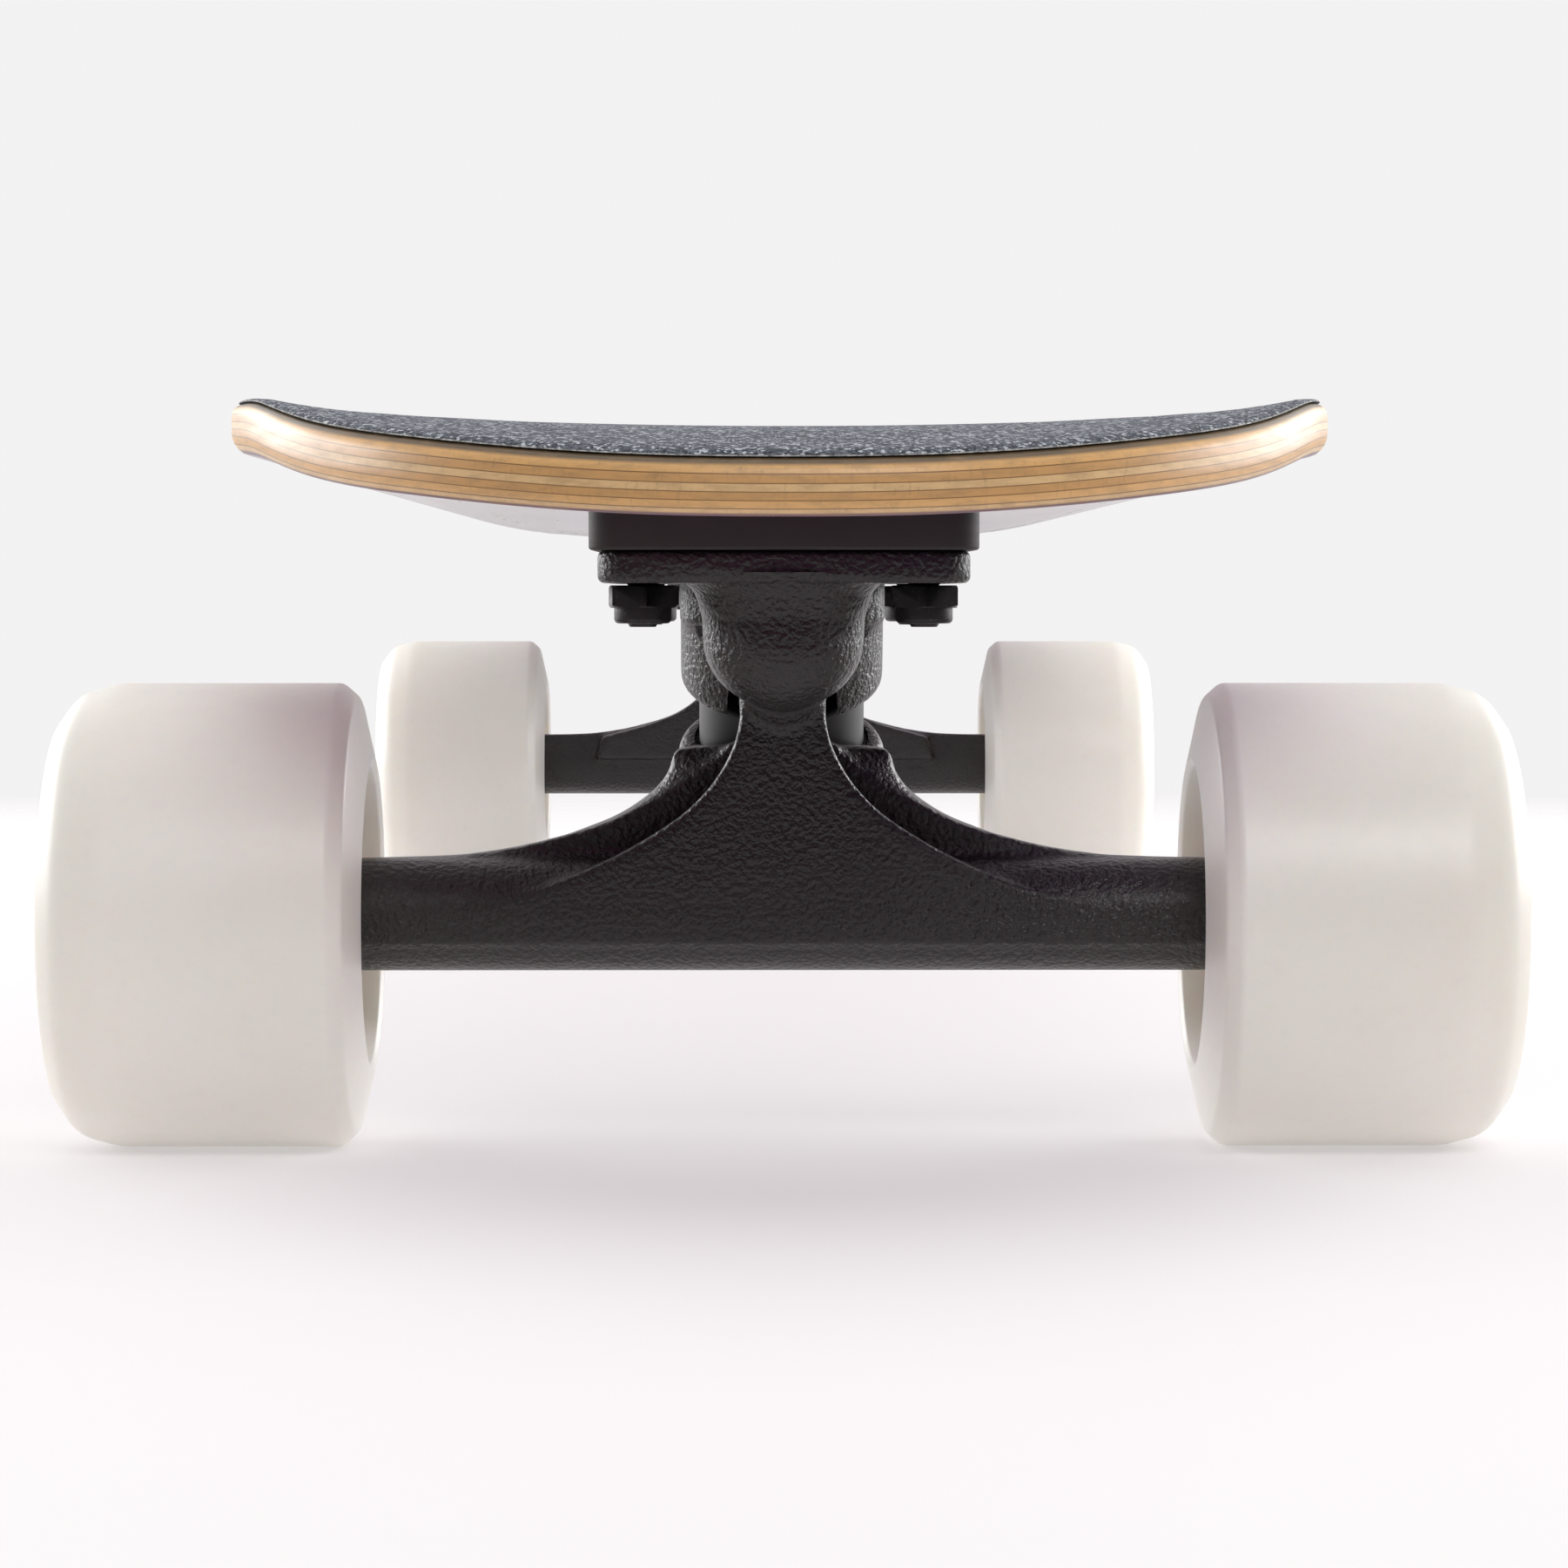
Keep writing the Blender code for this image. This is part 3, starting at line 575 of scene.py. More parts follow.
def railPoint(angle, inset=0.0):
    d = deckShape

    def edge(a):
        y = d["length"] / 2 * math.sin(a)
        width = d["halfWidth"] - d["taper"] * math.sin(a) ** 2
        fromTip = d["length"] / 2 * (1 - abs(math.sin(a)))
        if fromTip < d["tip"]:
            power = d["tipPower"]
            width *= max(0, 1 - (1 - fromTip / d["tip"]) ** power) ** (1 / power)
        return Vector((math.copysign(width, math.cos(a)), y))
    here = edge(angle)
    along = (edge(angle + 0.004) - edge(angle - 0.004)).normalized()
    inward = Vector((-along.y, along.x))
    return here + inward * inset


def ringBody(name, rings, place):
    # a circle extruded ring by ring; afterwards each ring is moved to its place
    deselectAll()
    count = deckShape["around"]
    bpy.ops.mesh.primitive_circle_add(vertices=count, radius=1, fill_type="NOTHING")
    obj = named(name)
    bpy.ops.object.mode_set(mode="EDIT")
    bpy.ops.mesh.select_mode(type="EDGE")
    bpy.ops.mesh.select_all(action="SELECT")
    for k in range(1, rings):
        bpy.ops.mesh.extrude_edges_move()
        bpy.ops.transform.resize(value=((k + 1) / k, (k + 1) / k, 1))
    bpy.ops.object.mode_set(mode="OBJECT")
    depths = []
    for vert in obj.data.vertices:
        ring = round(vert.co.length) - 1
        angle = math.atan2(vert.co.y, vert.co.x)
        step = round(angle / (math.tau / count) - 0.25) + 0.5
        x, y, z, depth = place(ring, step * math.tau / count)
        vert.co = Vector((x, y, z)) * mm
        depths.append(depth)
    layer = obj.data.attributes.new("plyDepth", "FLOAT", "POINT")
    layer.data.foreach_set("value", depths)
    bpy.ops.object.mode_set(mode="EDIT")
    bpy.ops.mesh.select_mode(type="VERT")
    bpy.ops.mesh.select_all(action="DESELECT")
    bpy.ops.mesh.select_non_manifold(extend=False, use_wire=False, use_multi_face=False,
                                     use_non_contiguous=False)
    bpy.ops.mesh.edge_face_add()
    bpy.ops.mesh.select_all(action="SELECT")
    bpy.ops.mesh.normals_make_consistent(inside=False)
    bpy.ops.object.mode_set(mode="OBJECT")
    return obj


def railSection():
    # (inset, depth) down over the rail: an arc, the flat of the plies, an arc
    d = deckShape
    turns = [math.pi / 2 * i / 5 for i in range(6)]
    arc = [(d["rail"] * (1 - math.sin(a)), d["rail"] * (1 - math.cos(a))) for a in turns]
    down = [(0.0, d["rail"] + (d["thickness"] - 2 * d["rail"]) * i / 4) for i in range(1, 4)]
    back = [(inset, d["thickness"] - depth) for inset, depth in reversed(arc)]
    return arc + down + back


def makeDeck():
    section = railSection()
    inner = len(ringScales)
    total = inner * 2 + len(section)

    def place(ring, angle):
        if inner <= ring < inner + len(section):
            inset, depth = section[ring - inner]
            spot = railPoint(angle, inset)
        else:
            top = ring < inner
            scale = ringScales[ring] if top else ringScales[total - 1 - ring]
            depth = 0.0 if top else deckShape["thickness"]
            spot = railPoint(angle, deckShape["rail"]) * scale
        z = deckTop(spot.x, spot.y) - depth
        return spot.x, spot.y, z, depth / deckShape["thickness"]
    deck = ringBody("deckBoard", total, place)
    dress(deck, "ply", "paint")
    for face in deck.data.polygons:
        corners = [deck.data.vertices[i].co for i in face.vertices]
        depth = min(abs(deckTop(v.x / mm, v.y / mm) - v.z / mm) for v in corners)
        if depth > deckShape["paintDepth"]:
            face.material_index = 1
    return smooth(deck, 40)


def makeGrip():
    lip = [(gripShape["inset"] + back, lift) for back, lift in gripShape["edge"]]
    inset, thickness = lip[-1]
    inner = len(ringScales)
    total = inner * 2 + len(lip)

    def place(ring, angle):
        if inner <= ring < inner + len(lip):
            back, lift = lip[ring - inner]
            spot = railPoint(angle, back)
        else:
            under = ring < inner
            scale = ringScales[ring] if under else ringScales[total - 1 - ring]
            lift = -gripShape["sunk"] if under else thickness
            spot = railPoint(angle, inset) * scale
        return spot.x, spot.y, deckTop(spot.x, spot.y) + lift, 0.0
    grip = ringBody("gripSheet", total, place)
    dress(grip, "grit", "gritCut")
    for face in grip.data.polygons:
        if abs(face.normal.z) < 0.75:
            face.material_index = 1
    return smooth(grip, 40)


# ---- fasteners

def threadEnd(start, end, radius, pitch=1.0, depth=0.35):
    # (along, radius) points down a threaded end
    points = []
    count = max(1, int((end - start) / pitch))
    for i in range(count):
        points += [(start + (i + 0.25) * pitch, radius), (start + (i + 0.75) * pitch, radius - depth)]
    return points


def hexNut(name, across, height, collarHeight, collarRadius, bore, finish):
    # a chamfered hexagon with a rolled collar, opening along +Z from the origin
    corner = across / 2 / math.cos(math.pi / 6)
    deselectAll()
    bpy.ops.mesh.primitive_cylinder_add(vertices=6, radius=corner * mm, depth=height * mm,
                                        location=(0, 0, height / 2 * mm))
    nut = named(name)
    settle(nut)
    cut = (corner - across / 2) * 1.1
    drop = cut * 0.55
    gem = [(0, 0), (0, corner - cut), (drop, corner + 0.05), (height - drop, corner + 0.05),
           (height, corner - cut), (height, 0)]
    carve(nut, lathe("gem", gem, steps=60), "INTERSECT")
    if collarHeight:
        top = height + collarHeight
        roll = min(0.7, collarHeight * 0.45)
        side = rounded([(height - 0.6, 0), (height - 0.6, collarRadius), (top, collarRadius),
                        (top, collarRadius - 1.6), (top, 0)], {2: roll})
        carve(nut, lathe("collar", side, steps=48), "UNION")
    high = height + collarHeight + 1
    carve(nut, lathe("bore", [(-1, 0), (-1, bore), (high, bore), (high, 0)], steps=40))
    dress(nut, finish)
    modify(nut, "BEVEL", width=0.12 * mm, segments=2, limit_method="ANGLE", angle_limit=math.radians(30),
           use_clamp_overlap=True)
    return smooth(nut, 30)


def toward(origin, axis):
    # a matrix that takes +Z at the origin to an axis at a point
    axis = Vector(axis).normalized()
    return Matrix.Translation(origin) @ axis.to_track_quat("Z", "Y").to_matrix().to_4x4()


boltShape = {"radius": 2.4, "head": 4.7, "headHeight": 2.8, "socket": 3.2, "socketDepth": 1.9}


def makeBolt():
    b = boltShape
    low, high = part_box("front_bolt_1")
    length = (high.z - low.z) / mm
    end = threadEnd(0.6, 11, b["radius"], 0.8, 0.3)
    shank = [(0, 0), (0, b["radius"] - 0.5)] + end
    shank += [(11.4, b["radius"]), (length - b["headHeight"], b["radius"])]
    head = [(length - 0.35, b["head"]), (length, b["head"] - 0.15), (length, 0)]
    bolt = lathe("boltModel", shank + head, steps=40, angle=30)
    deselectAll()
    corner = b["socket"] / 2 / math.cos(math.pi / 6)
    bpy.ops.mesh.primitive_cylinder_add(vertices=6, radius=corner * mm, depth=b["socketDepth"] * 2 * mm,
                                        location=(0, 0, length * mm))
    carve(bolt, settle(named("socket")))
    dress(bolt, "black")
    return smooth(bolt, 30)


def fastenBoard(deck, grip):
    bolt = makeBolt()
    nut = hexNut("lockNutModel", 9.5, 3.3, 2.3, 4.2, 2.45, "black")
    for truckName in trucks:
        for number in range(1, 5):
            node = f"{truckName}_bolt_{number}"
            low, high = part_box(node)
            spot = Vector(((low.x + high.x) / 2, (low.y + high.y) / 2, low.z))
            for sheet, room in ((grip, 0.25), (deck, 0.02)):
                top = high.z / mm
                bottom = top - boltShape["headHeight"]
                wide = boltShape["head"] + room
                hole = [(bottom - 0.4, 0), (bottom - 0.4, 2.6), (bottom, 2.6), (top, wide),
                        (120, wide), (120, 0)]
                tool = lathe("countersink", hole, centre=(spot.x, spot.y, 0), steps=40)
                carve(sheet, tool)
            piece = copyOf(bolt, f"{truckName}Bolt{number}", Matrix.Translation(spot))
            stand(piece, "board", "black_steel", node)
            nutNode = f"{truckName}_bolt_nut_{number}"
            low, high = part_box(nutNode)
            seat = Vector((spot.x, spot.y, high.z))
            turned = Matrix.Rotation(math.radians(5 * number - 12), 4, "Z")  # none quite in line
            piece = copyOf(nut, f"{truckName}LockNut{number}", toward(seat, (0, 0, -1)) @ turned)
            stand(piece, "board", "black_steel", nutNode)
    for model in (bolt, nut):
        bpy.data.objects.remove(model, do_unlink=True)


# ---- trucks, modelled about the middle of the axle with +Y outboard

def along(distance):
    return ringCentre + kingpinAxis * (distance * mm)


hangerShape = {
    "armRadius": 8.5, "armHalf": 72.4,
    "web": ((0.0, 34.0), (6.0, 33.4), (6.4, 29.8), (7.3, 25.8), (9.8, 21.0), (13.5, 16.7), (18.0, 13.3),
            (24.3, 9.6), (30.8, 6.6), (37.3, 4.2), (45.9, 2.0), (54.5, 0.6), (64.0, -0.6), (72.0, -1.4)),
    "rib": ((0.0, 27.5), (7.2, 26.2), (9.9, 23.6), (15.9, 19.2), (20.3, 17.0), (25.3, 14.4),
            (28.8, 13.1), (34.0, 11.6), (39.3, 10.3), (44.6, 9.4), (50.0, 8.8), (62.0, 8.4), (72.0, 8.2)),
    "flank": ((0.0, 26.0), (14.8, 25.0), (16.6, 23.6), (17.4, 21.2), (19.4, 18.6), (22.5, 16.2),
              (25.6, 14.4), (29.0, 13.0), (34.0, 11.2), (40.0, 9.6), (46.0, 8.0)),
    "webDepth": (2.6, 8.4), "ribDepth": (-5.5, -0.6), "flankDepth": (-14.0, -4.4), "slopeSteps": 5,
    "foot": -4.0, "ring": 16.4, "neck": 6.6, "nose": 5.6, "seat": 13.3, "seatMouth": 15.8, "pinHole": 7.0,
}


def heightAt(outline, x):
    for (left, low), (right, high) in zip(outline, outline[1:]):
        if x <= right:
            return low + (high - low) * (x - left) / (right - left)
    return outline[-1][1]


def makeHanger():
    h = hangerShape
    half, radius = h["armHalf"], h["armRadius"]
    arm = [(-half, 0), (-half, radius), (half, radius), (half, 0)]
    parts = [lathe("arms", arm, axis=(1, 0, 0), steps=64)]
    under = [(half, h["foot"]), (0, h["foot"])]
    parts.append(slab("web", flowing(h["web"], 4) + under, *h["webDepth"]))
    parts.append(slab("rib", flowing(h["rib"], 4) + under, *h["ribDepth"]))
    parts.append(slab("flank", flowing(h["flank"], 4) + [(48, 2), (0, 2)], *h["flankDepth"]))
    for k in range(1, h["slopeSteps"]):
        # thin steps from the rib's outline to the flank's
        share = k / h["slopeSteps"]
        front = h["ribDepth"][1] - 3.8 * share
        slope = []
        for x in range(0, 46, 2):
            slope.append((x, heightAt(h["rib"], x) * (1 - share) + heightAt(h["flank"], x) * share))
        parts.append(slab("slope", slope + [(46, 2), (0, 2)], front - 2, front))
    ring = rounded([(-4, 0), (-4, h["ring"]), (4.2, h["ring"] - 0.6), (4.2, 0)], {1: 2.0, 2: 2.6})
    parts.append(lathe("ring", ring, centre=ringCentre, axis=kingpinAxis, steps=64))
    reach = (pivotPoint - ringCentre).length / mm
    stub = [(8, 0), (8, h["neck"]), (reach - 13, h["neck"]), (reach - 11, h["nose"]), (reach - 11, 0)]
    parts.append(lathe("neck", stub, centre=ringCentre, axis=steerAxis, steps=48))
    body = melt("hangerModel", parts, 0.75, 5)
    # the seats open outwards, which gives the bushings room when the hanger steers
    room, wide = h["seat"], h["seatMouth"]
    below = [(-40, 0), (-40, wide), (-14, wide), (-4, room), (-4, 0)]
    carve(body, lathe("below", below, centre=ringCentre, axis=kingpinAxis, steps=64))
    above = [(3.4, 0), (3.4, room), (14, wide), (40, wide), (40, 0)]
    carve(body, lathe("above", above, centre=ringCentre, axis=kingpinAxis, steps=64))
    hole = [(-10, 0), (-10, h["pinHole"]), (10, h["pinHole"]), (10, 0)]
    carve(body, lathe("hole", hole, centre=ringCentre, axis=kingpinAxis, steps=48))
    start, end = reach - 12.5, reach + 3.7
    nose = rounded([(start, 0), (start, h["nose"]), (end, h["nose"]), (end, 0)], {2: 3.5}, 8)
    carve(body, lathe("nose", nose, centre=ringCentre, axis=steerAxis, steps=48), "UNION")
    dress(body, "cast")
    return smooth(body, 50)


plateShape = {
    "size": (54.0, 82.0, 4.7), "centreY": -7.0, "top": 54.7, "boltX": 20.65, "boltYs": (20.0, -34.0),
    "bossRadius": 15.5, "bossLow": 13.6, "bossHigh": 26.0, "bridge": (15.0, 20.0, 14.0), "boltHole": 2.7,
    "shoulder": (31.0, 24.0, 9.0), "socket": 8.35, "socketDepth": 5.9, "pinHole": 5.0,
    "housing": ((13.2, 13.2), (10.0, 12.2), (6.0, 11.95), (1.7, 11.9), (-1.9, 11.4), (-4.4, 10.2),
                (-6.2, 8.7), (-7.9, 6.4), (-9.3, 3.6), (-9.9, 1.4), (-10.0, 0.0)),
    "flare": ((51.6, 0), (51.6, 16.5), (50.2, 14.6), (48.6, 13.0), (45.0, 12.0), (45.0, 0)),
}


def boltHoles(body, low, high, steps):
    p = plateShape
    for y in p["boltYs"]:
        for x in (-p["boltX"], p["boltX"]):
            hole = [(low, 0), (low, p["boltHole"]), (high, p["boltHole"]), (high, 0)]
            carve(body, lathe("boltHole", hole, centre=(x * mm, y * mm, 0), steps=steps))


def makeBaseplate():
    p = plateShape
    profile = [(13.2, 0)] + flowing(p["housing"], 4)
    parts = [lathe("housing", profile, centre=pivotPoint, axis=(0, 0, 1), steps=64)]
    parts.append(lathe("flare", p["flare"], centre=(0, pivotPoint.y, 0), steps=64))
    low, high, radius = p["bossLow"], p["bossHigh"], p["bossRadius"]
    boss = rounded([(low, 0), (low, radius), (high, radius), (high, 0)], {1: 1.8})
    parts.append(lathe("boss", boss, centre=ringCentre, axis=kingpinAxis, steps=64))
    parts.append(block("shoulder", p["shoulder"], (0, -4.5, p["top"] - 6.6), corner=9, edge=1.0))
    parts.append(block("bridge", p["bridge"], (0, 5.0, 45.0), corner=2, edge=1.5))
    body = melt("baseplateModel", parts, 0.6, 3)
    centre = (0, p["centreY"], p["top"] - p["size"][2] / 2)
    carve(body, block("plate", p["size"], centre, corner=5, edge=1.0), "UNION")
    lid = block("lid", (80, 110, 20), (0, 0, p["top"] + 10))
    carve(body, lid)
    depth = p["socketDepth"]
    socket = [(-30, 0), (-30, p["socket"]), (depth, p["socket"]), (depth, 0)]
    carve(body, lathe("socket", socket, centre=pivotPoint, axis=steerAxis, steps=48))
    bore = [(0, 0), (0, p["pinHole"]), (high, p["pinHole"]), (high, 0)]
    carve(body, lathe("bore", bore, centre=ringCentre, axis=kingpinAxis, steps=40))
    boltHoles(body, 40, 60, 32)
    dress(body, "cast")
    return smooth(body, 50)


def makeRiser():
    p = plateShape
    low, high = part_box("rear_riser_pad")
    size = [(high[i] - low[i]) / mm for i in range(3)]
    size[2] += 0.5
    centre = (0, p["centreY"], p["top"] + 0.05 + size[2] / 2)
    riser = block("riserModel", size, centre, corner=5, edge=0.5)
    boltHoles(riser, 50, 75, 24)
    dress(riser, "riser")
    return smooth(riser, 40)


stackShape = {
    "pin": 4.76, "seat": 25.5, "head": 6.0, "headRadius": 7.6, "end": -27.0, "barrel": 12.7,
    "barrelHeight": 9.3, "coneHeight": 10.3, "coneTop": 12.5, "coneEnd": 9.6, "bore": 5.1, "ringHalf": 4.0,
    "washer": 1.5, "nutAcross": 14.3, "squeeze": 0.76,
}


def makeStack():
    # kingpin, bushings, washer and nut along the kingpin's line: {name: piece}
    s = stackShape
    pieces = {}
    thread = threadEnd(s["end"] + 0.8, -12, s["pin"], 1.1, 0.4)
    pin = [(s["end"], 0), (s["end"], s["pin"] - 0.9)] + thread + [(-11, s["pin"])]
    seat, end, wide = s["seat"], s["seat"] + s["head"], s["headRadius"]
    pin += [(seat, s["pin"]), (seat, wide), (end - 0.6, wide), (end, wide - 0.6), (end, 0)]
    pieces["kingpin"] = dress(lathe("kingpinModel", pin, ringCentre, kingpinAxis, 48), "black")
    low, high = s["ringHalf"] - 0.5, s["ringHalf"] + s["barrelHeight"]
    bore, wide = s["bore"], s["barrel"]
    barrel = rounded([(low, bore), (low, wide), (high, wide), (high, bore)], {1: 0.6, 2: 1.0})
    barrel = lathe("barrelModel", barrel, ringCentre, kingpinAxis, 80)
    pieces["bushing_boardside"] = dress(barrel, "bushing")
    top = -s["ringHalf"] - 0.1
    bottom = top - s["coneHeight"]
    wide = s["coneTop"]
    cone = [(bottom, bore), (bottom, s["coneEnd"]), (top - 3.2, wide), (top, wide), (top, bore)]
    cone = lathe("coneModel", rounded(cone, {1: 0.8, 2: 3.0, 3: 0.5}), ringCentre, kingpinAxis, 80)
    pieces["bushing_roadside"] = dress(cone, "bushing")
    under = bottom - 0.05
    back = under - s["washer"]
    cup = [(under, 5.0), (under, 9.9), (under + 0.9, 10.9), (under - 0.2, 11.3), (back, 10.2), (back, 5.0)]
    cup = lathe("cupWasherModel", rounded(cup, {1: 0.5, 4: 0.5}), ringCentre, kingpinAxis, 64)
    pieces["kingpin_washer"] = dress(cup, "black")
    nut = hexNut("kingpinNutModel", s["nutAcross"], 6.0, 2.5, 6.6, 4.8, "black")
    nut.data.transform(toward(along(back - 0.1), -kingpinAxis))
    pieces["kingpin_nut"] = nut
    return pieces


def makeAxle():
    low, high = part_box("rear_axle")
    half = (high.x - low.x) / 2 / mm
    thread = threadEnd(99, half - 0.9, 4.0, 1.0, 0.35)
    side = [(0.5, 4.0), (98.8, 4.0)] + thread + [(half - 0.6, 3.7), (half, 3.1), (half, 0)]
    profile = [(-a, r) for a, r in reversed(side)] + side
    return dress(lathe("axleModel", profile, axis=(1, 0, 0), steps=40), "bright")


def buildTrucks():
    models = {
        "baseplate": makeBaseplate(), "riser_pad": makeRiser(), "hanger": makeHanger(),
        "axle": makeAxle(), **makeStack(),
    }
    s = stackShape
    # each bushing's end away from the ring is worked out as an anchor, and the piece gets a mesh of its
    # own
    squeezed = {
        "bushing_boardside": s["ringHalf"] + s["barrelHeight"],
        "bushing_roadside": -s["ringHalf"] - s["coneHeight"],
    }
    slots = {"baseplate": "casting", "hanger": "casting", "riser_pad": "riser", "axle": "bright_steel",
             "bushing_boardside": "bushing", "bushing_roadside": "bushing"}
    for truckName, spot in trucks.items():
        for node, model in models.items():
            body = truckName + "_hanger_set" if node in ("hanger", "axle") else "board"
            label = truckName + "".join(word.capitalize() for word in node.split("_"))
            piece = copyOf(model, label, spot)
            stand(piece, body, slots.get(node, "black_steel"), f"{truckName}_{node}")
            if node in squeezed:
                anchor = spot @ along(squeezed[node])
                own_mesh(piece)
    for model in models.values():
        bpy.data.objects.remove(model, do_unlink=True)


# ---- wheels, modelled on the right with +X outboard, about the board's middle line

wheelShape = {
    "radius": 35.0, "inner": 61.8, "innerRing": 23.5, "face": 64.0, "faceRadius": 33.0,
    "treadStart": 66.3, "treadEnd": 99.5, "outer": 109.0, "seat": 11.05, "core": 8.4,
    "bearingIn": 73.4, "bearingOut": 97.5, "bearingWidth": 7.0,
}


def makeWheel():
    w = wheelShape
    core, seat = w["core"], w["seat"]
    line = [
        (84, core), (80.5, core), (80.5, seat), (72.9, seat), (72.9, 15.6), (69.5, 19.2),
        (w["inner"] + 0.6, 22.4), (w["inner"], w["innerRing"]), (w["face"], w["faceRadius"]),
        (w["treadStart"], w["radius"]), (w["treadEnd"], w["radius"]), (105.6, 33.4),
        (w["outer"], 28.6), (w["outer"] - 0.3, 25.0), (104.6, 22.6), (98.4, 15.4), (98.0, seat),
        (90.4, seat), (90.4, core), (84, core),
    ]
    radii = (0.3, 2.4, 4.0, 0.8, 0.8, 2.0, 1.8, 9.0, 6.0, 2.6, 2.0, 4.0, 2.0)
    profile = rounded(line, dict(enumerate(radii, 3)), 6)[:-1]
    return dress(lathe("wheelModel", profile, axis=(1, 0, 0), steps=128, angle=40), "wheel")


def makeBearing(name, low):
    # outer race, recessed seal and inner race in one turned ring; low is its inboard face
    high = low + wheelShape["bearingWidth"]
    face = [(0.0, 11.0), (0.0, 9.6), (0.45, 9.45), (0.45, 6.3), (0.0, 6.15), (0.0, 4.35)]
    left = [(low + a, r) for a, r in face]
    right = [(high - a, r) for a, r in reversed(face)]
    left[0], right[-1] = (low + 0.3, 11.0), (high - 0.3, 11.0)
    return dress(lathe(name, left + right, axis=(1, 0, 0), steps=64), "bright")


def makeSeal(name, at, sign):
    ring = [(at, 6.45), (at, 9.35), (at + 0.3 * sign, 9.2), (at + 0.3 * sign, 6.6)]
    return dress(lathe(name, ring, axis=(1, 0, 0), steps=64), "seal")


def buildWheels():
    w = wheelShape
    fixed = {
        "wheel": makeWheel(),
        "bearing_inner": makeBearing("bearingInnerModel", w["bearingIn"]),
        "bearing_outer": makeBearing("bearingOuterModel", w["bearingOut"] - w["bearingWidth"]),
        "sealInner": makeSeal("sealInnerModel", w["bearingIn"] + 0.42, -1),
        "sealOuter": makeSeal("sealOuterModel", w["bearingOut"] - 0.42, 1),
    }
    nut = hexNut("axleNutModel", 12.7, 4.6, 1.8, 5.8, 4.02, "bright")
    nut.data.transform(toward(Vector((98.6 * mm, 0, 0)), (1, 0, 0)))
    collar = [(104.0, 4.02), (104.0, 4.9), (105.1, 4.9), (105.1, 4.02)]
    insert = dress(lathe("nylonModel", collar, axis=(1, 0, 0), steps=40), "seal")
    washers = {}
    for label, low in (("Inner", 72.45), ("Outer", 97.56)):
        ring = rounded([(low, 4.1), (low, 5.8), (low + 0.9, 5.8), (low + 0.9, 4.1)], {1: 0.2, 2: 0.2}, 2)
        washers[label] = dress(lathe("washerModel" + label, ring, axis=(1, 0, 0), steps=40), "bright")
    for truckName in trucks:
        centre = Matrix.Translation(middleOf(truckName + "_axle"))
        for side, sign in (("left", -1), ("right", 1)):
            name = f"{truckName}_{side}"
            label = truckName + side.capitalize()
            spot = centre if sign > 0 else centre @ Matrix.Rotation(math.pi, 4, "Z")
            for part, model in fixed.items():
                made = copyOf(model, label + part[0].upper() + part[1:].replace("_", ""), spot)
                replaced = [f"{name}_{part}"] if "seal" not in part else []
                slotName = "urethane" if part == "wheel" else "bright_steel"
                stand(made, name + "_wheel_set", slotName, *replaced)
            made = copyOf(nut, label + "AxleNut", spot)
            stand(made, truckName + "_hanger_set", "bright_steel", name + "_axle_nut")
            made = copyOf(insert, label + "NutInsert", spot)
            stand(made, truckName + "_hanger_set", "pivot_plastic")
            for where, washer in washers.items():
                made = copyOf(washer, label + "SpeedWasher" + where, spot)
                stand(made, truckName + "_hanger_set", "bright_steel")
    for model in (*fixed.values(), nut, insert, *washers.values()):
        bpy.data.objects.remove(model, do_unlink=True)


deck = makeDeck()
grip = makeGrip()
print("deck and grip shaped")
fastenBoard(deck, grip)
stand(deck, "board", "maple", "deck")
stand(grip, "board", "grip", "grip_tape")
print("bolts and nuts in")
buildTrucks()
print("trucks built")
buildWheels()
print("wheels built")

# the spacers and pivot cups keep their own shape
for nodeName, node in nodes.items():
    if "spacer" in nodeName:
        dress(node, "bright")
    if "pivot_cup" in nodeName:
        dress(node, "seal")


# ---- camera, floor and light

viewpoint = {
    "lens": 108.5, "sensor": 36.0, "side": -5.74, "height": 83.4, "back": 714.0, "pitch": 2.3, "yaw": 0.48,
}
studio = {
    "backdrop": (0.9, 0.89, 0.893), "dim": 0.06, "bright": 0.8,
    "table": (0.56, 0.535, 0.543), "tableGlow": 0.33, "glowColour": (1, 0.985, 0.99, 1),
    "fadeStart": 0.5, "fadeEnd": 0.95,
}
# watts, place and size of each lamp, in metres; the front fill's place is from the front axle
lamps = {
    "overhead": (6.0, (0, 0.2, 1.6), (1.6, 2.2)),
    "side": (11.5, (1.1, 0.45, 0.34), (1.2, 0.5)),
    "rear": (2.5, (0.9, 1.1, 0.6), (0.5, 0.7)),
    "front": (9.5, (0.3, -1.3, 1.05), (0.9, 0.5)),
}


def makeCamera():
    v = viewpoint
    data = bpy.data.cameras.new("camera")
    data.lens = v["lens"]
    data.sensor_width = v["sensor"]
    camera = bpy.data.objects.new("camera", data)
    axleY = middleOf("front_axle").y
    camera.location = (v["side"] * mm, axleY - v["back"] * mm, v["height"] * mm)
    camera.rotation_euler = (math.radians(90 - v["pitch"]), 0, math.radians(-v["yaw"]))
    data.clip_start = 0.01
    data.clip_end = 50
    bpy.context.scene.collection.objects.link(camera)
    bpy.context.scene.camera = camera


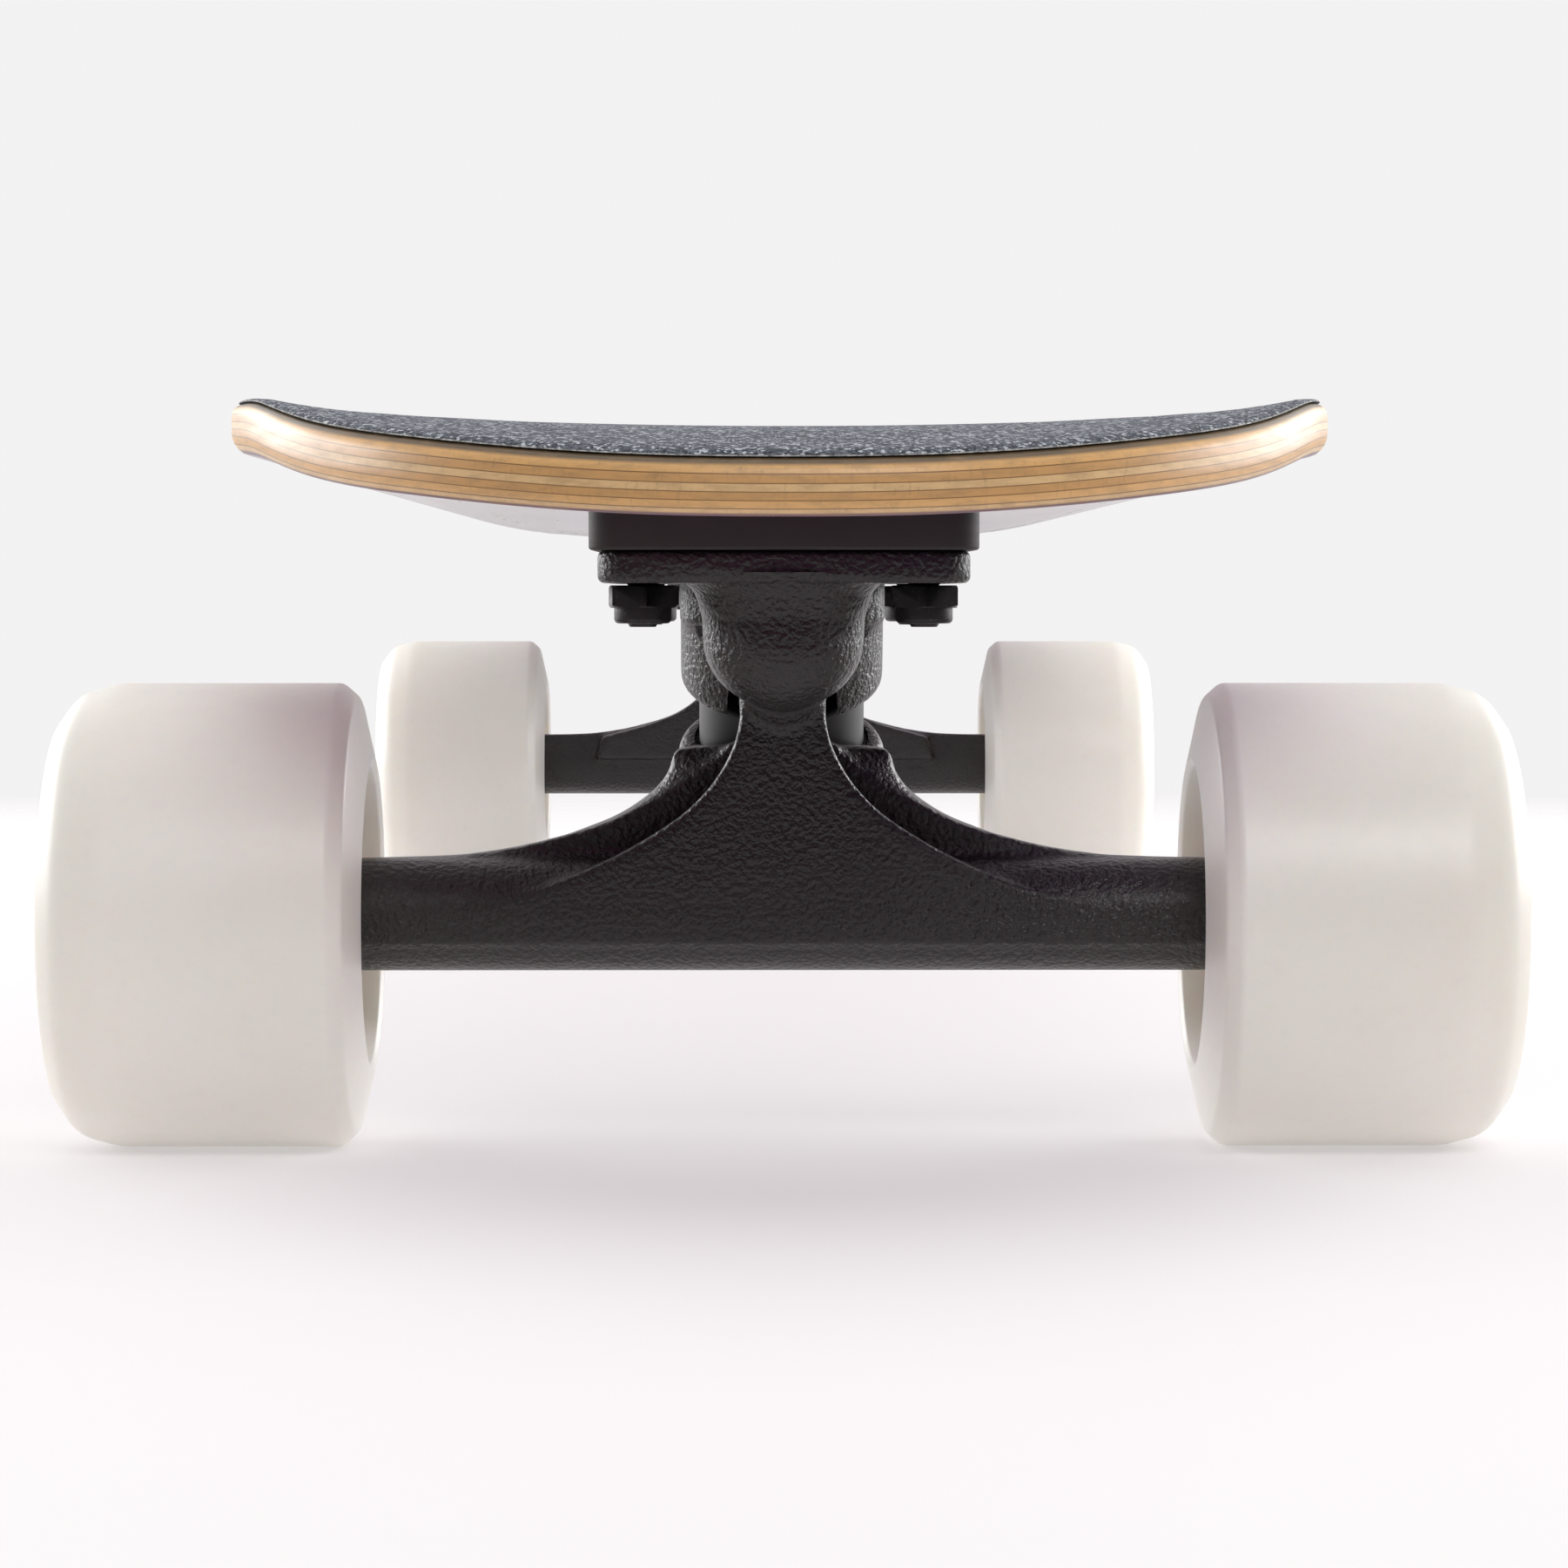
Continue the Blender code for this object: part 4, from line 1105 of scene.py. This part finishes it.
def makeFloor():
    # a pale table that fades into the backdrop all round, so no horizon shows
    s = studio
    deselectAll()
    bpy.ops.mesh.primitive_plane_add(size=8, location=(0, 0, 0))
    floor = named("studioFloor")
    # the table glows with light of its own though it is no lamp: painted light that pales the shadows on
    # it
    f = Finish("paleFloor", s["table"], 0.6, Specular_IOR_Level=0.2, Emission_Strength=s["tableGlow"])
    f.shader.inputs["Emission Color"].default_value = s["glowColour"]
    cloud = f.noise(3.0, 2)
    f.feed("Base Color", f.blend(cloud, s["table"], tuple(c * 1.03 for c in s["table"])))
    reach = f.node("ShaderNodeVectorMath", {"operation": "LENGTH"}, out="Value", Vector=f.place)
    fade = (reach - s["fadeStart"]) * (1 / (s["fadeEnd"] - s["fadeStart"]))
    f.feed("Alpha", 1 - fade.limited())
    floor.data.materials.append(f.material)


def softLight(name, lamp, target, sign=1, start=0.0):
    watts, place, size = lamps[lamp]
    place = (place[0] * sign, place[1] + start, place[2])
    data = bpy.data.lights.new(name, "AREA")
    data.shape = "RECTANGLE"
    data.size, data.size_y = size
    data.energy = watts
    light = bpy.data.objects.new(name, data)
    light.location = place
    direction = Vector(target) - Vector(place)
    light.rotation_euler = direction.to_track_quat("-Z", "Y").to_euler()
    bpy.context.scene.collection.objects.link(light)


def makeSky():
    # the room is bright above and behind the board and dim in front of it; the backdrop is plain
    world = bpy.data.worlds.new("studioSky")
    world.use_nodes = True
    tree = world.node_tree
    direction = tree.nodes.new("ShaderNodeTexCoord").outputs["Generated"]
    split = tree.nodes.new("ShaderNodeSeparateXYZ")
    tree.links.new(direction, split.inputs[0])
    ahead, up = Value(tree, split.outputs[1]), Value(tree, split.outputs[2])
    glow = (ahead * 0.55 + up * 0.9 + 0.12).limited() * studio["bright"] + studio["dim"]
    seen = Value(tree, tree.nodes.new("ShaderNodeLightPath").outputs["Is Camera Ray"])
    back = tree.nodes["Background"]
    back.inputs["Color"].default_value = (*studio["backdrop"], 1)
    strength = glow * (1 - seen) + seen
    tree.links.new(strength.socket, back.inputs["Strength"])
    bpy.context.scene.world = world


def makeStudio():
    makeSky()
    front = middleOf("front_axle")
    softLight("overhead", "overhead", (0, 0.1, 0))
    for name, sign in (("leftStrip", -1), ("rightStrip", 1)):
        softLight(name, "side", (0, front.y * 0.5, 0.04), sign)
    for name, sign in (("rearLeft", -1), ("rearRight", 1)):
        softLight(name, "rear", (0, front.y, 0.08), sign)
    softLight("frontFill", "front", (0, front.y, 0.05), start=front.y)
    bpy.context.scene.view_settings.view_transform = "Standard"
    bpy.context.scene.view_settings.look = "None"


makeCamera()
makeFloor()
makeStudio()
print("studio ready")
